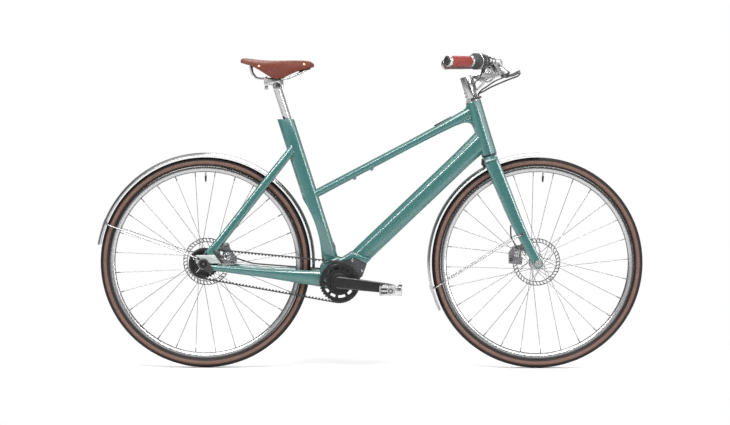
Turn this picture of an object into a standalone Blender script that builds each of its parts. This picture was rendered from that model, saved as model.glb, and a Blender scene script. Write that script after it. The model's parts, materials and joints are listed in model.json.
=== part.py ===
"""Step-through bicycle with a gearbox at the cranks, a toothed belt, disc brakes and polished fenders.

Lengths are in metres. The side view lies in the XZ plane, +X is forward, +Z is up, the drive side
faces -Y, and the two tyres stand on Z = 0 with the origin below the middle of the bicycle.
"""
import math

import bmesh
import bpy
from mathutils import Matrix, Vector

# Clearances
GAP = 0.0003
BRAKE_GAP = 0.0012
LEVER_GAP = 0.001

# Wheels
WHEEL_SPACING = 0.398
RIM_RADIUS = 0.3167
RIM_DEPTH = 0.0192
RIM_WIDTH = 0.024
RIM_BASE_WIDTH = 0.016
TYRE_HEIGHT = 0.0293
TYRE_WIDTH = 0.036
TYRE_SHARES = ((0.64, 0.0), (0.94, 0.20), (1.0, 0.50), (0.78, 0.82), (0.28, 1.0))
WHEEL_STEPS = 44
HUB_STEPS = 18
TUBE_STEPS = 22
SPOKE_COUNT = 28
SPOKE_WIDTH = 0.0022
SPOKE_LEAN = math.radians(70)
FRONT_SPOKE_ANGLE = math.radians(2.5)
REAR_SPOKE_ANGLE = math.radians(6.5)
FLANGE_RADIUS = 0.0235
FLANGE_THICKNESS = 0.0040
HUB_BARREL_RADIUS = 0.0140
HUB_NECK_RADIUS = 0.0170
FRONT_HUB_WIDTH = 0.100
REAR_HUB_WIDTH = 0.142
HUB_END_RADIUS = 0.0105
FLANGE_OFFSET = 0.030
AXLE_RADIUS = 0.006
AXLE_HEAD_RADIUS = 0.0115
AXLE_HEAD_LENGTH = 0.004
ROTOR_RADIUS = 0.080
ROTOR_THICKNESS = 0.0020
ROTOR_TRACK = 0.0155
ROTOR_SPIDER_RADIUS = 0.027
ROTOR_ARMS = 6
FRONT_ROTOR_OFFSET = 0.0395
REAR_ROTOR_OFFSET = 0.055

# Frame layout
BRACKET_CLEARANCE = 0.0805
BRACKET_DROP = 0.061
HEAD_ANGLE = math.radians(73.0)
FORK_RAKE = 0.047
CROWN_CLEARANCE = 0.021
CROWN_HEIGHT = 0.020
LOWER_BEARING_HEIGHT = 0.0035
HEAD_TUBE_LENGTH = 0.181
HEAD_TUBE_RADIUS = 0.026
HEAD_TUBE_BORE = 0.0195
UPPER_BEARING_HEIGHT = 0.0032
PORT_HEIGHT = 0.0072
STEERER_RADIUS = 0.0143
SEAT_ANGLE = math.radians(72.3)
SEAT_TOP_SETBACK = 0.172
SEAT_TOP_HEIGHT = 0.534
SEAT_TUBE_FRONT = 0.0203
SEAT_TUBE_DEPTH = 0.0522
SEAT_TUBE_WIDTH = 0.040
SEAT_TUBE_RELIEF = 0.022
POST_RADIUS = 0.0136
POST_BORE_DEPTH = 0.215
POST_INSERTION = 0.130

# Frame tubes: depths in the side view, widths across
TOP_TUBE_SEAT_HEIGHT = 0.262
TOP_TUBE_HEAD_DROP = 0.0277
TOP_TUBE_DEPTH = 0.025
TOP_TUBE_HEAD_DEPTH = 0.031
TOP_TUBE_WIDTH = 0.036
BOSS_SPACING = 0.064
BOSS_PLACE = 0.155
BOSS_RADIUS = 0.0065
BOSS_HEIGHT = 0.004
DOWN_TUBE_HEAD_RISE = 0.056
DOWN_TUBE_DEPTH = 0.061
DOWN_TUBE_HEAD_DEPTH = 0.068
DOWN_TUBE_WIDTH = 0.045
BRIDGE_WIDTH = 0.095
BRIDGE_REAR = 0.0635
BRIDGE_NOSE = (0.1053, 0.0751)
BRIDGE_CREST = (0.0395, 0.0982)
BRIDGE_SADDLE = (0.0033, 0.0751)
BRIDGE_BROW = (-0.006, 0.0815)
BRIDGE_SEAT_FOOT = 0.057
BRIDGE_BELLY = ((-0.050, -0.023), (-0.022, -0.023), (0.038, 0.015), (0.0889, 0.0607))
CHAINSTAY_STATIONS = (
    (0.00, 0.0785, 0.0070, 0.0090),
    (0.20, 0.0720, 0.0090, 0.0115),
    (0.54, 0.0520, 0.0090, 0.0155),
    (0.90, 0.0395, 0.0090, 0.0205),
    (1.00, 0.0385, 0.0090, 0.0220),
)
CHAINSTAY_END = (0.0095, -0.009)
CHAINSTAY_FRONT_HEIGHT = 0.0136
SEATSTAY_STATIONS = (
    (0.00, 0.0770, 0.0065, 0.0172),
    (0.10, 0.0735, 0.0068, 0.0128),
    (0.47, 0.0510, 0.0070, 0.0132),
    (0.74, 0.0385, 0.0070, 0.0134),
    (0.92, 0.0290, 0.0070, 0.0128),
    (1.00, 0.0250, 0.0070, 0.0120),
)
SEATSTAY_FOOT = 0.0168
SEATSTAY_TOP_DROP = 0.096
DROPOUT_THICKNESS = 0.012
DROPOUT_RADIUS = 0.019
DROPOUT_REAR = 0.025
DROPOUT_FRONT = 0.0587
DROPOUT_SLANT = 0.0205
DROPOUT_LOW = 0.0016
DROPOUT_HIGH = 0.0289

# Gearbox, cranks and pedals
GEARBOX_WIDTH = 0.076
GEARBOX_RADIUS = 0.041
GEARBOX_FRONT = ((0.057, 0.003), (0.076, 0.019), (0.090, 0.059))
GEARBOX_TOP = ((0.052, 0.080), (0.018, 0.071), (-0.027, 0.053))
COVER_THICKNESS = 0.0057
COVER_INSET = 0.003
COVER_DRUM = (0.026, 0.0235)
COVER_DRUM_RADIUS = 0.037
COVER_DRUM_HEIGHT = 0.0045
SPINDLE_RADIUS = 0.011
CRANK_LENGTH = 0.170
CRANK_ANGLE = math.radians(-6.7)
CRANK_INNER = 0.064
CRANK_THICKNESS = 0.016
CRANK_ROOT_RADIUS = 0.019
CRANK_WAIST = (0.120, 0.0172)
CRANK_TIP_RADIUS = 0.0152
PEDAL_LENGTH = 0.074
PEDAL_WIDTH = 0.096
PEDAL_HEIGHT = 0.029
PEDAL_INNER = 0.092
PEDAL_PIN_RADIUS = 0.005
PEDAL_PIN_DEPTH = 0.080
PEDAL_CORE = 0.012
PEDAL_RAIL = 0.012
PEDAL_CORNER = 0.008

# Belt drive
BELT_PITCH = 0.011
FRONT_TEETH = 38
REAR_TEETH = 28
BELT_LINE = 0.055
BELT_WIDTH = 0.012
BELT_BACK = 0.0017
BELT_ROOT = 0.0008
SPROCKET_WIDTH = 0.010
SPROCKET_RIM = 0.0139
SPROCKET_SLOT_DEPTH = 0.009
SPROCKET_SLOTS = ((-80, 0.40), (-44, 0.28))
SPROCKET_SLOT_PAIRS = 5
CARRIER_RADIUS = 0.030
CARRIER_HEIGHT = 0.0035
DRIVER_RADIUS = 0.0155

# Fenders and their stays, angles in degrees about each axle
FENDER_CLEARANCE = 0.015
FENDER_WIDTH = 0.052
FENDER_DROP = 0.0085
FENDER_THICKNESS = 0.0016
REAR_FENDER_START = -2.5
REAR_FENDER_END = 170.5
FRONT_FENDER_START = 89.0
FRONT_FENDER_END = 206.0
REAR_STAY_ANGLE = math.radians(158.6)
FRONT_STAY_ANGLE = math.radians(193.6)
STAY_RADIUS = 0.002
STAY_REAR_EYELET = (-0.0165, 0.0174)
STAY_FLARE = 0.0017
STAY_FORK_PLACE = (-0.052, 0.097)
STAY_FORK_OFFSET = 0.0639
FENDER_BRACKET_HALF_WIDTH = 0.008

# Fork: shares of the crown height and rake, then offset, half width and half depth
BLADE_STATIONS = (
    (1.000, 0.00, 0.0460, 0.0120, 0.0235),
    (0.692, 0.24, 0.0480, 0.0115, 0.0220),
    (0.433, 0.43, 0.0508, 0.0100, 0.0195),
    (0.206, 0.70, 0.0540, 0.0080, 0.0165),
    (0.000, 1.00, 0.0564, 0.0062, 0.0145),
    (-0.038, 1.06, 0.0564, 0.0058, 0.0105),
)
CROWN_HALF_WIDTH = 0.058
CROWN_HALF_DEPTH = 0.0225
CROWN_SHOULDER = 0.018

# Stem, bar and what the bar carries; places on the grips are distances from the bar's end
STEM_RADIUS = 0.019
STEM_HEIGHT = 0.074
STEM_RISE = 0.0645
STEM_REACH = 0.0686
STEM_HALF_THICKNESS = 0.009
BAR_CLAMP_RADIUS = 0.020
BAR_CLAMP_HALF_WIDTH = 0.021
PORT_RADIUS = 0.026
PORT_LOBE_RADIUS = 0.0145
PORT_LOBE_REACH = 0.016
BAR_RADIUS = 0.0111
BAR_CENTRE_RADIUS = 0.0159
BAR_SWELL = (0.026, 0.050)
BAR_POINTS = ((0.0, 0.0, 0.0), (0.0, 0.024, 0.0), (0.0, 0.036, 0.0), (0.0144, 0.070, 0.0045),
              (0.029, 0.110, 0.0165), (0.0325, 0.137, 0.0320))
BAR_STRAIGHT = 0.215
GRIP_BACK = 0.1349
GRIP_SPREAD = 0.300
GRIP_RISE = 0.0456
GRIP_SWEEP = math.radians(40)
GRIP_RADIUS = 0.0167
GRIP_RING_RADIUS = 0.0182
LEFT_GRIP_LENGTH = 0.130
RIGHT_GRIP_LENGTH = 0.100
SHIFTER_END = 0.1475
SHIFTER_RADIUS = 0.0265
SHIFTER_CONE = 0.011
SHIFTER_HOUSING_LENGTH = 0.018
SHIFTER_HOUSING_RADIUS = 0.022
SHIFTER_TAIL = (-0.0115, 0.008, -0.044)
SHIFTER_TAIL_RADIUS = 0.0055
BRACKET_CLAMP = (0.178, 0.192)
BRACKET_CLAMP_RADIUS = 0.016
CYLINDER_END = (0.055, 0.013, -0.041)
CYLINDER_RADIUS = 0.0085
LEVER_DROP = math.radians(47.7)
LEVER_PIVOT = (0.183, 0.054)
LEVER_BOSS_RADIUS = 0.0075
LEVER_HALF_WIDTH = 0.005
LEVER_PIN_RADIUS = 0.0025
LEVER_INNER_EDGE = ((0.107, 0.0535), (0.120, 0.0575), (0.145, 0.0600), (0.168, 0.0565))
LEVER_OUTER_EDGE = ((0.170, 0.0655), (0.145, 0.0685), (0.120, 0.0665), (0.106, 0.0615))

# Brake callipers, outlined about each axle
FRONT_CALIPER = ((-0.0915, -0.015), (-0.066, -0.024), (-0.050, -0.020), (-0.046, 0.010), (-0.028, 0.034),
                 (-0.044, 0.058), (-0.080, 0.050), (-0.0915, 0.030))
FRONT_CALIPER_SPAN = (0.0312, 0.057)
REAR_CALIPER = ((0.046, -0.012), (0.090, -0.012), (0.0995, -0.003), (0.0995, 0.014), (0.088, 0.027),
                (0.0755, 0.045), (0.0740, 0.0560), (0.0680, 0.0620), (0.0600, 0.0610), (0.0530, 0.0530),
                (0.040, 0.038))
REAR_CALIPER_SPAN = (0.044, 0.066)

# Seat
POST_HEAD_RADIUS = 0.013
POST_HEAD_HALF_WIDTH = 0.021
POST_HEAD_RISE = 0.111
SADDLE_CLAMP_BACK = 0.041
SADDLE_CLAMP_FRONT = 0.020
SADDLE_CLAMP_LOW = 0.0026
SADDLE_CLAMP_HALF_WIDTH = 0.027
RAIL_RADIUS = 0.0035
RAIL_OFFSET = 0.022
RAIL_RISE = 0.025
LEATHER_THICKNESS = 0.0045
LEATHER_POWER = 2.8
LEATHER_STEPS = 10
# Places from the post head: along, top height, lower edge height, half width
SADDLE_STATIONS = (
    (-0.1180, 0.0850, 0.0740, 0.070),
    (-0.1120, 0.0915, 0.0640, 0.085),
    (-0.0840, 0.0900, 0.0560, 0.088),
    (-0.0480, 0.0860, 0.0470, 0.068),
    (-0.0200, 0.0845, 0.0320, 0.051),
    (0.0000, 0.0843, 0.0250, 0.042),
    (0.0250, 0.0845, 0.0310, 0.032),
    (0.0630, 0.0851, 0.0480, 0.023),
    (0.1010, 0.0833, 0.0580, 0.018),
    (0.1180, 0.0765, 0.0620, 0.013),
    (0.1222, 0.0705, 0.0660, 0.008),
)
RAIL_POINTS = ((-0.0840, 0.034, 0.0600), (-0.0800, 0.030, 0.0410), (-0.0680, 0.0230, 0.0278),
               (-0.0540, 0.022, 0.0250), (-0.0420, 0.022, 0.0250), (0.0210, 0.022, 0.0250),
               (0.0320, 0.022, 0.0250), (0.0600, 0.017, 0.0360), (0.0870, 0.009, 0.0490))
RAIL_NOSE = (0.1000, 0.0, 0.0560)

# Hoses and the shift cable: radii, then the points that their routes pass through
HOSE_RADIUS = 0.0025
CABLE_RADIUS = 0.0020
RIGHT_HOSE = ((0.4478, -0.1679, 0.9596), (0.4518, -0.1667, 0.9561), (0.4640, -0.1575, 0.9575),
              (0.4780, -0.1430, 0.9640), (0.4875, -0.1220, 0.9662), (0.4800, -0.0960, 0.9565),
              (0.4580, -0.0750, 0.9480), (0.4263, -0.0520, 0.9352), (0.3944, -0.0320, 0.9206),
              (0.3751, -0.0180, 0.9093), (0.3630, -0.0100, 0.9035), (0.3558, -0.0070, 0.8977),
              (0.3576, -0.0070, 0.8924))
LEFT_HOSE = ((0.4478, 0.1679, 0.9596), (0.4518, 0.1667, 0.9561), (0.4650, 0.1590, 0.9600),
             (0.4850, 0.1400, 0.9720), (0.4965, 0.1180, 0.9770), (0.4830, 0.0930, 0.9700),
             (0.4545, 0.0750, 0.9598), (0.4136, 0.0500, 0.9429), (0.3832, 0.0300, 0.9229),
             (0.3696, 0.0180, 0.9144), (0.3610, 0.0100, 0.9060), (0.3558, 0.0070, 0.8977),
             (0.3576, 0.0070, 0.8924))
SHIFT_CABLE = ((0.3592, -0.1909, 0.9563), (0.3573, -0.1896, 0.9516), (0.3531, -0.1650, 0.9440),
               (0.3446, -0.1250, 0.9394), (0.3417, -0.0850, 0.9284), (0.3399, -0.0500, 0.9124),
               (0.3400, -0.0330, 0.9020), (0.3440, -0.0220, 0.8945), (0.3459, -0.0215, 0.8892))
FRONT_HOSE = ((0.4653, 0.0512, 0.4660), (0.4655, 0.0512, 0.4520), (0.4660, 0.0500, 0.4350),
              (0.4700, 0.0470, 0.4200), (0.4770, 0.0450, 0.4090), (0.4800, 0.0445, 0.3990))
REAR_HOSE = ((-0.4395, 0.0555, 0.3560), (-0.4200, 0.0595, 0.3490), (-0.4000, 0.0615, 0.3430),
             (-0.3800, 0.0598, 0.3387), (-0.3300, 0.0519, 0.3350), (-0.2700, 0.0462, 0.3310),
             (-0.2100, 0.0405, 0.3270), (-0.1750, 0.0390, 0.3248), (-0.1624, 0.0388, 0.3240))


# Directions and angles
X_AXIS = Vector((1.0, 0.0, 0.0))
Y_AXIS = Vector((0.0, 1.0, 0.0))
Z_AXIS = Vector((0.0, 0.0, 1.0))
FULL_TURN = 2 * math.pi
SIDES = (("left", 1), ("right", -1))
SHARP_ANGLE = math.radians(35)
MERGE = 0.000001


# Shared modelling steps

def clear_scene():
    for item in list(bpy.data.objects):
        bpy.data.objects.remove(item, do_unlink=True)


def linear(value):
    """One 8-bit screen colour channel as a linear value."""
    share = value / 255
    return share / 12.92 if share <= 0.04045 else ((share + 0.055) / 1.055) ** 2.4


def make_material(name, colour, roughness, metallic):
    material = bpy.data.materials.new(name)
    material.use_nodes = True
    inputs = material.node_tree.nodes["Principled BSDF"].inputs
    inputs["Base Color"].default_value = (*(linear(channel) for channel in colour), 1.0)
    inputs["Roughness"].default_value = roughness
    inputs["Metallic"].default_value = metallic
    return material


def add_object(name, shape, material=None):
    """Turn a bmesh into a named object with its faces pointing out."""
    bmesh.ops.recalc_face_normals(shape, faces=shape.faces)
    mesh = bpy.data.meshes.new(name)
    shape.to_mesh(mesh)
    shape.free()
    mesh.shade_smooth()
    mesh.set_sharp_from_angle(angle=SHARP_ANGLE)
    item = bpy.data.objects.new(name, mesh)
    bpy.context.scene.collection.objects.link(item)
    if material:
        mesh.materials.append(material)
    return item


def combine(target, other, operation):
    """Cut OTHER out of the target, or join it on; OTHER itself is only a guide."""
    other.hide_render = True
    other.display_type = "WIRE"
    modifier = target.modifiers.new(operation.title(), "BOOLEAN")
    modifier.operation = operation
    modifier.solver = "EXACT"
    modifier.object = other


def cut(target, *others):
    for other in others:
        combine(target, other, "DIFFERENCE")


def join(target, *others):
    for other in others:
        combine(target, other, "UNION")


def place(item, at, axis=Y_AXIS):
    """Put an object that was turned about its own Y axis at a point, along an axis."""
    item.location = at
    item.rotation_mode = "QUATERNION"
    item.rotation_quaternion = Y_AXIS.rotation_difference(axis)
    return item


def make_pivot(name, at, items):
    """An empty on a joint's axis that carries the pieces of a moving body."""
    pivot = bpy.data.objects.new(name, None)
    pivot.location = at
    bpy.context.scene.collection.objects.link(pivot)
    for item in items:
        item.parent = pivot
        item.matrix_parent_inverse = Matrix.Translation(at).inverted()
    return pivot


def loft(rings, closed=False, shape=None):
    """A skin over equal rings of points, capped at both ends or closed on itself."""
    shape = shape or bmesh.new()
    loops = [[shape.verts.new(point) for point in ring] for ring in rings]
    pairs = list(zip(loops, loops[1:]))
    if closed:
        pairs.append((loops[-1], loops[0]))
    else:
        shape.faces.new(loops[0])
        shape.faces.new(loops[-1])
    for first, second in pairs:
        for i, corner in enumerate(first):
            j = (i + 1) % len(first)
            shape.faces.new((corner, first[j], second[j], second[i]))
    return shape


def turned(profile, steps, start=0.0, sweep=FULL_TURN, solid=False):
    """Spin (radius, y) points about the Y axis; a solid's profile starts and ends on the axis."""
    shape = bmesh.new()
    verts = [shape.verts.new((r * math.cos(start), y, r * math.sin(start))) for r, y in profile]
    pairs = list(zip(verts, verts[1:]))
    if not solid:
        pairs.append((verts[-1], verts[0]))
    edges = [shape.edges.new(pair) for pair in pairs]
    bmesh.ops.spin(shape, geom=verts + edges, cent=(0, 0, 0), axis=-Y_AXIS, angle=sweep, steps=steps)
    bmesh.ops.remove_doubles(shape, verts=shape.verts, dist=MERGE)
    bmesh.ops.holes_fill(shape, edges=[edge for edge in shape.edges if edge.is_boundary])
    return shape


def rod(start, end, radius, steps=16):
    """A solid round bar between two points, as an object with its origin at the start."""
    length = (end - start).length
    shape = turned(((0, 0), (radius, 0), (radius, length), (0, length)), steps, solid=True)
    return place(add_object("rod", shape), start, (end - start).normalized())


def plate(outline, low, high, origin=Vector(), across=X_AXIS, up=Z_AXIS, shape=None):
    """A flat outline of (across, up) points, thickened from LOW to HIGH along up x across."""
    normal = up.cross(across)
    flat = [origin + across * a + up * b for a, b in outline]
    return loft([[point + normal * level for point in flat] for level in (low, high)], shape=shape)


def plates(outlines, low, high, origin=Vector(), across=X_AXIS, up=Z_AXIS):
    """Several separate plates in one shape, for instance all the windows of a disc."""
    shape = bmesh.new()
    for outline in outlines:
        plate(outline, low, high, origin, across, up, shape)
    return shape


def arc(centre, radius, start, end, steps):
    """Points on an arc between two angles in degrees, both ends included."""
    angles = [math.radians(start + (end - start) * i / steps) for i in range(steps + 1)]
    return [(centre[0] + radius * math.cos(a), centre[1] + radius * math.sin(a)) for a in angles]


def grown(outline, distance):
    """A counter-clockwise outline with every edge moved outwards."""
    points = [Vector(point) for point in outline]
    result = []
    for before, here, after in zip(points[-1:] + points[:-1], points, points[1:] + points[:1]):
        first = (here - before).normalized()
        second = (after - here).normalized()
        normals = Vector((first.y + second.y, -first.x - second.x))
        result.append(here + normals * distance / (1 + first.dot(second)))
    return [tuple(point) for point in result]


def oval(centre, across, up, half_width, half_depth, power=2.6, count=12):
    """A rounded section ring; a higher power makes it squarer."""
    points = []
    for i in range(count):
        angle = FULL_TURN * (i + 0.5) / count
        a = math.copysign(abs(math.cos(angle)) ** (2 / power), math.cos(angle))
        b = math.copysign(abs(math.sin(angle)) ** (2 / power), math.sin(angle))
        points.append(centre + across * half_width * a + up * half_depth * b)
    return points


def tube_rings(stations, grow=0.0, power=2.6, count=12):
    """Section rings square to a path of (point, half width, half depth) stations."""
    centres = [station[0] for station in stations]
    rings = []
    for i, (centre, half_width, half_depth) in enumerate(stations):
        along = (centres[min(i + 1, len(centres) - 1)] - centres[max(i - 1, 0)]).normalized()
        across = (Y_AXIS - along * along.y).normalized()
        rings.append(oval(centre, across, across.cross(along), half_width + grow, half_depth + grow,
                          power, count))
    return rings


def trim(ring, along, plane_point, plane_normal):
    """Slide a ring's points along a direction until they lie on a plane."""
    return [point + along * ((plane_point - point).dot(plane_normal) / along.dot(plane_normal))
            for point in ring]


def smooth_route(points, spacing):
    """Points about a spacing apart on a smooth curve through the given points."""
    ends = [2 * points[0] - points[1], *points, 2 * points[-1] - points[-2]]
    route = [points[0]]
    for a, b, c, d in zip(ends, ends[1:], ends[2:], ends[3:]):
        steps = max(1, round((c - b).length / spacing))
        for i in range(1, steps + 1):
            t = i / steps
            bend = (2 * a - 5 * b + 4 * c - d) * t * t + (3 * b - a - 3 * c + d) * t ** 3
            route.append(b + 0.5 * ((c - a) * t + bend))
    return route


def tube(name, route, radius, material, resolution=2, shares=None):
    """A round tube along a route, with filled caps; SHARES scale its radius at each point."""
    curve = bpy.data.curves.new(name, "CURVE")
    curve.dimensions = "3D"
    curve.bevel_depth = radius
    curve.bevel_resolution = resolution
    curve.use_fill_caps = True
    spline = curve.splines.new("POLY")
    spline.points.add(len(route) - 1)
    for i, point in enumerate(route):
        spline.points[i].co = (*point, 1.0)
        spline.points[i].radius = shares[i] if shares else 1.0
    spline.use_smooth = True
    item = bpy.data.objects.new(name, curve)
    bpy.context.scene.collection.objects.link(item)
    curve.materials.append(material)
    return item


# Materials

def make_materials():
    return {
        "paint": make_material("teal_paint", (70, 126, 124), 0.32, 0.0),
        "polished": make_material("polished_metal", (214, 214, 212), 0.18, 1.0),
        "satin": make_material("satin_metal", (196, 202, 200), 0.38, 1.0),
        "black_metal": make_material("black_anodised", (44, 44, 46), 0.38, 0.6),
        "cast": make_material("dark_casting", (70, 71, 75), 0.45, 0.5),
        "black_plastic": make_material("black_plastic", (34, 34, 35), 0.5, 0.0),
        "rubber": make_material("black_rubber", (26, 26, 27), 0.75, 0.0),
        "sidewall": make_material("brown_tyre", (112, 84, 76), 0.7, 0.0),
        "leather": make_material("brown_leather", (150, 96, 88), 0.5, 0.0),
        "grip": make_material("brown_grip", (170, 92, 84), 0.6, 0.0),
    }


# Layout, worked out from the sizes above
TYRE_RADIUS = RIM_RADIUS + TYRE_HEIGHT
FENDER_RADIUS = TYRE_RADIUS + FENDER_CLEARANCE
FORK_LENGTH = FENDER_RADIUS + CROWN_CLEARANCE
WHEELBASE = 2 * TYRE_RADIUS + WHEEL_SPACING
BRACKET_REACH = FENDER_RADIUS + BRACKET_CLEARANCE
TAIL_REACH = max(TYRE_RADIUS, -FENDER_RADIUS * math.cos(math.radians(REAR_FENDER_END)))
FRONT_AXLE = Vector(((WHEELBASE + TAIL_REACH - TYRE_RADIUS) / 2, 0, TYRE_RADIUS))
REAR_AXLE = FRONT_AXLE - X_AXIS * WHEELBASE
BRACKET = REAR_AXLE + Vector((BRACKET_REACH, 0, -BRACKET_DROP))
UP = Vector((-math.cos(HEAD_ANGLE), 0, math.sin(HEAD_ANGLE)))
AHEAD = Vector((math.sin(HEAD_ANGLE), 0, math.cos(HEAD_ANGLE)))
CROWN_LOW = FORK_LENGTH - CROWN_HEIGHT
HEAD_LOW = FORK_LENGTH + LOWER_BEARING_HEIGHT + 2 * GAP
HEAD_HIGH = HEAD_LOW + HEAD_TUBE_LENGTH
PORT_LOW = HEAD_HIGH + UPPER_BEARING_HEIGHT + 2 * GAP
PORT_HIGH = PORT_LOW + PORT_HEIGHT
SEAT_UP = Vector((-math.cos(SEAT_ANGLE), 0, math.sin(SEAT_ANGLE)))
SEAT_AHEAD = Vector((math.sin(SEAT_ANGLE), 0, math.cos(SEAT_ANGLE)))
SEAT_TOP = BRACKET + Vector((-SEAT_TOP_SETBACK, 0, SEAT_TOP_HEIGHT))
REAR_DROPOUT_INNER = REAR_HUB_WIDTH / 2
POST_HEAD = SEAT_TOP + SEAT_UP * POST_HEAD_RISE
BAR_BORE = BAR_RADIUS + GAP
STEM_LOW = PORT_HIGH + GAP
STEM_HIGH = STEM_LOW + STEM_HEIGHT


def steer(along, ahead=0.0, side=0.0):
    """A point in the fork's frame: up the steering axis, ahead of it and to the left."""
    return FRONT_AXLE + UP * along + AHEAD * (ahead - FORK_RAKE) + Y_AXIS * side


# Frame

def bridge_outline():
    """The cast shell above and behind the gearbox; its last two points carry the seat tube."""
    return [(-BRIDGE_REAR, -0.010), *BRIDGE_BELLY, BRIDGE_NOSE, BRIDGE_CREST, BRIDGE_SADDLE,
            BRIDGE_BROW, (-BRIDGE_REAR, BRIDGE_SEAT_FOOT)]


def gearbox_outline():
    return arc((0, 0), GEARBOX_RADIUS, 165, 300, 12) + list(GEARBOX_FRONT) + list(GEARBOX_TOP)


def make_head_tube(material):
    profile = ((HEAD_TUBE_BORE, 0), (HEAD_TUBE_RADIUS, 0), (HEAD_TUBE_RADIUS, HEAD_TUBE_LENGTH),
               (HEAD_TUBE_BORE, HEAD_TUBE_LENGTH))
    return place(add_object("head_tube", turned(profile, TUBE_STEPS), material), steer(HEAD_LOW), UP)


def head_tube_space():
    """The round room that the head tube takes, for the tubes that end at it."""
    return rod(steer(HEAD_LOW - 0.02), steer(HEAD_HIGH + 0.02), HEAD_TUBE_RADIUS + GAP, TUBE_STEPS)


def make_top_tube(material):
    head_end = steer(HEAD_HIGH - TOP_TUBE_HEAD_DROP)
    seat_end = SEAT_TOP - SEAT_UP * TOP_TUBE_SEAT_HEIGHT - SEAT_AHEAD * 0.004
    along = (head_end - seat_end).normalized()
    below = along.cross(Y_AXIS)
    half_width = TOP_TUBE_WIDTH / 2
    stations = [(seat_end, half_width, TOP_TUBE_DEPTH / 2),
                (seat_end.lerp(head_end, 0.75), half_width, TOP_TUBE_DEPTH / 2),
                (head_end, half_width, TOP_TUBE_HEAD_DEPTH / 2)]
    item = add_object("top_tube", loft(tube_rings(stations, power=3.0)), material)
    underside = below if below.z < 0 else -below
    for i in (0, 1):
        centre = seat_end + along * (BOSS_PLACE + i * BOSS_SPACING)
        foot = centre + underside * (TOP_TUBE_DEPTH / 4)
        join(item, rod(foot, centre + underside * (TOP_TUBE_DEPTH / 2 + BOSS_HEIGHT), BOSS_RADIUS, 12))
    cut(item, head_tube_space(), seat_tube_space())
    return item


def down_tube_rings():
    head_end = steer(HEAD_LOW + DOWN_TUBE_HEAD_RISE)
    nose = BRACKET + Vector((BRIDGE_NOSE[0], 0, BRIDGE_NOSE[1]))
    crest = BRACKET + Vector((BRIDGE_CREST[0], 0, BRIDGE_CREST[1]))
    foot = (nose + crest) / 2
    along = (head_end - foot).normalized()
    half_width = DOWN_TUBE_WIDTH / 2
    rings = tube_rings([(foot, half_width, DOWN_TUBE_DEPTH / 2),
                        (foot.lerp(head_end, 0.80), half_width, DOWN_TUBE_DEPTH / 2),
                        (head_end, half_width, DOWN_TUBE_HEAD_DEPTH / 2)], power=3.0)
    square = (nose - crest).cross(Y_AXIS).normalized()
    square = square if square.z > 0 else -square
    rings[0] = trim(rings[0], along, foot + square * GAP, square)
    return rings


def make_down_tube(material):
    item = add_object("down_tube", loft(down_tube_rings()), material)
    cut(item, head_tube_space())
    return item


def seat_tube_rings(grow=0.0):
    outline = bridge_outline()
    brow, foot = (BRACKET + Vector((x, 0, z)) for x, z in outline[-2:])
    square = (brow - foot).cross(Y_AXIS).normalized()
    square = square if square.z > 0 else -square
    middle = SEAT_AHEAD * (SEAT_TUBE_FRONT - SEAT_TUBE_DEPTH / 2)
    top = SEAT_TOP + middle
    low = top - SEAT_UP * SEAT_TOP_HEIGHT
    sizes = (SEAT_TUBE_WIDTH / 2, SEAT_TUBE_DEPTH / 2)
    rings = tube_rings([(low, *sizes), (top, *sizes)], grow, power=3.0, count=20)
    rings[0] = trim(rings[0], SEAT_UP, foot + square * GAP, square)
    rings[-1] = trim(rings[-1], SEAT_UP, top, Z_AXIS)
    return rings


def seat_tube_space():
    return add_object("seat_tube_space", loft(seat_tube_rings(GAP)))


def wheel_space():
    """The room behind the seat tube's cut-away rear side."""
    radius = FENDER_RADIUS + SEAT_TUBE_RELIEF
    profile = ((0, -0.06), (radius, -0.06), (radius, 0.06), (0, 0.06))
    return place(add_object("wheel_space", turned(profile, 96, solid=True)), REAR_AXLE)


def make_seat_tube(material):
    item = add_object("seat_tube", loft(seat_tube_rings()), material)
    bore = rod(SEAT_TOP - SEAT_UP * POST_BORE_DEPTH, SEAT_TOP + SEAT_UP * 0.01, POST_RADIUS + 2 * GAP, 24)
    cut(item, wheel_space(), bore)
    return item


def make_gearbox_bridge(material):
    half = BRIDGE_WIDTH / 2
    item = add_object("gearbox_bridge", plate(bridge_outline(), -half, half, BRACKET), material)
    room = plate(grown(gearbox_outline(), GAP), -2 * half, 2 * half, BRACKET)
    cut(item, add_object("gearbox_space", room))
    return item


def chainstay_rings(side, grow=0.0):
    rear = REAR_AXLE + Vector((CHAINSTAY_END[0], 0, CHAINSTAY_END[1]))
    front = BRACKET + Vector((-BRIDGE_REAR - GAP, 0, CHAINSTAY_FRONT_HEIGHT))
    stations = [(rear.lerp(front, share) + Y_AXIS * side * offset, half_width, half_depth)
                for share, offset, half_width, half_depth in CHAINSTAY_STATIONS]
    rings = tube_rings(stations, grow)
    rings[-1] = trim(rings[-1], X_AXIS, front, X_AXIS)
    return rings


def dropout_outline():
    low_angle = math.degrees(math.asin(DROPOUT_LOW / DROPOUT_RADIUS))
    rim = arc((0, 0), DROPOUT_RADIUS, 180 - low_angle, 360 + low_angle, 12)
    return [(-DROPOUT_REAR, DROPOUT_HIGH), (-DROPOUT_REAR, DROPOUT_LOW), *rim,
            (DROPOUT_FRONT, DROPOUT_LOW), (DROPOUT_FRONT - DROPOUT_SLANT, DROPOUT_HIGH)]


def dropout_shape(side):
    inner = side * (REAR_DROPOUT_INNER + GAP)
    outer = inner + side * DROPOUT_THICKNESS
    return plate(dropout_outline(), min(inner, outer), max(inner, outer), REAR_AXLE)


def rear_axle_space():
    reach = Y_AXIS * 0.2
    return rod(REAR_AXLE - reach, REAR_AXLE + reach, AXLE_RADIUS + GAP, 24)


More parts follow.
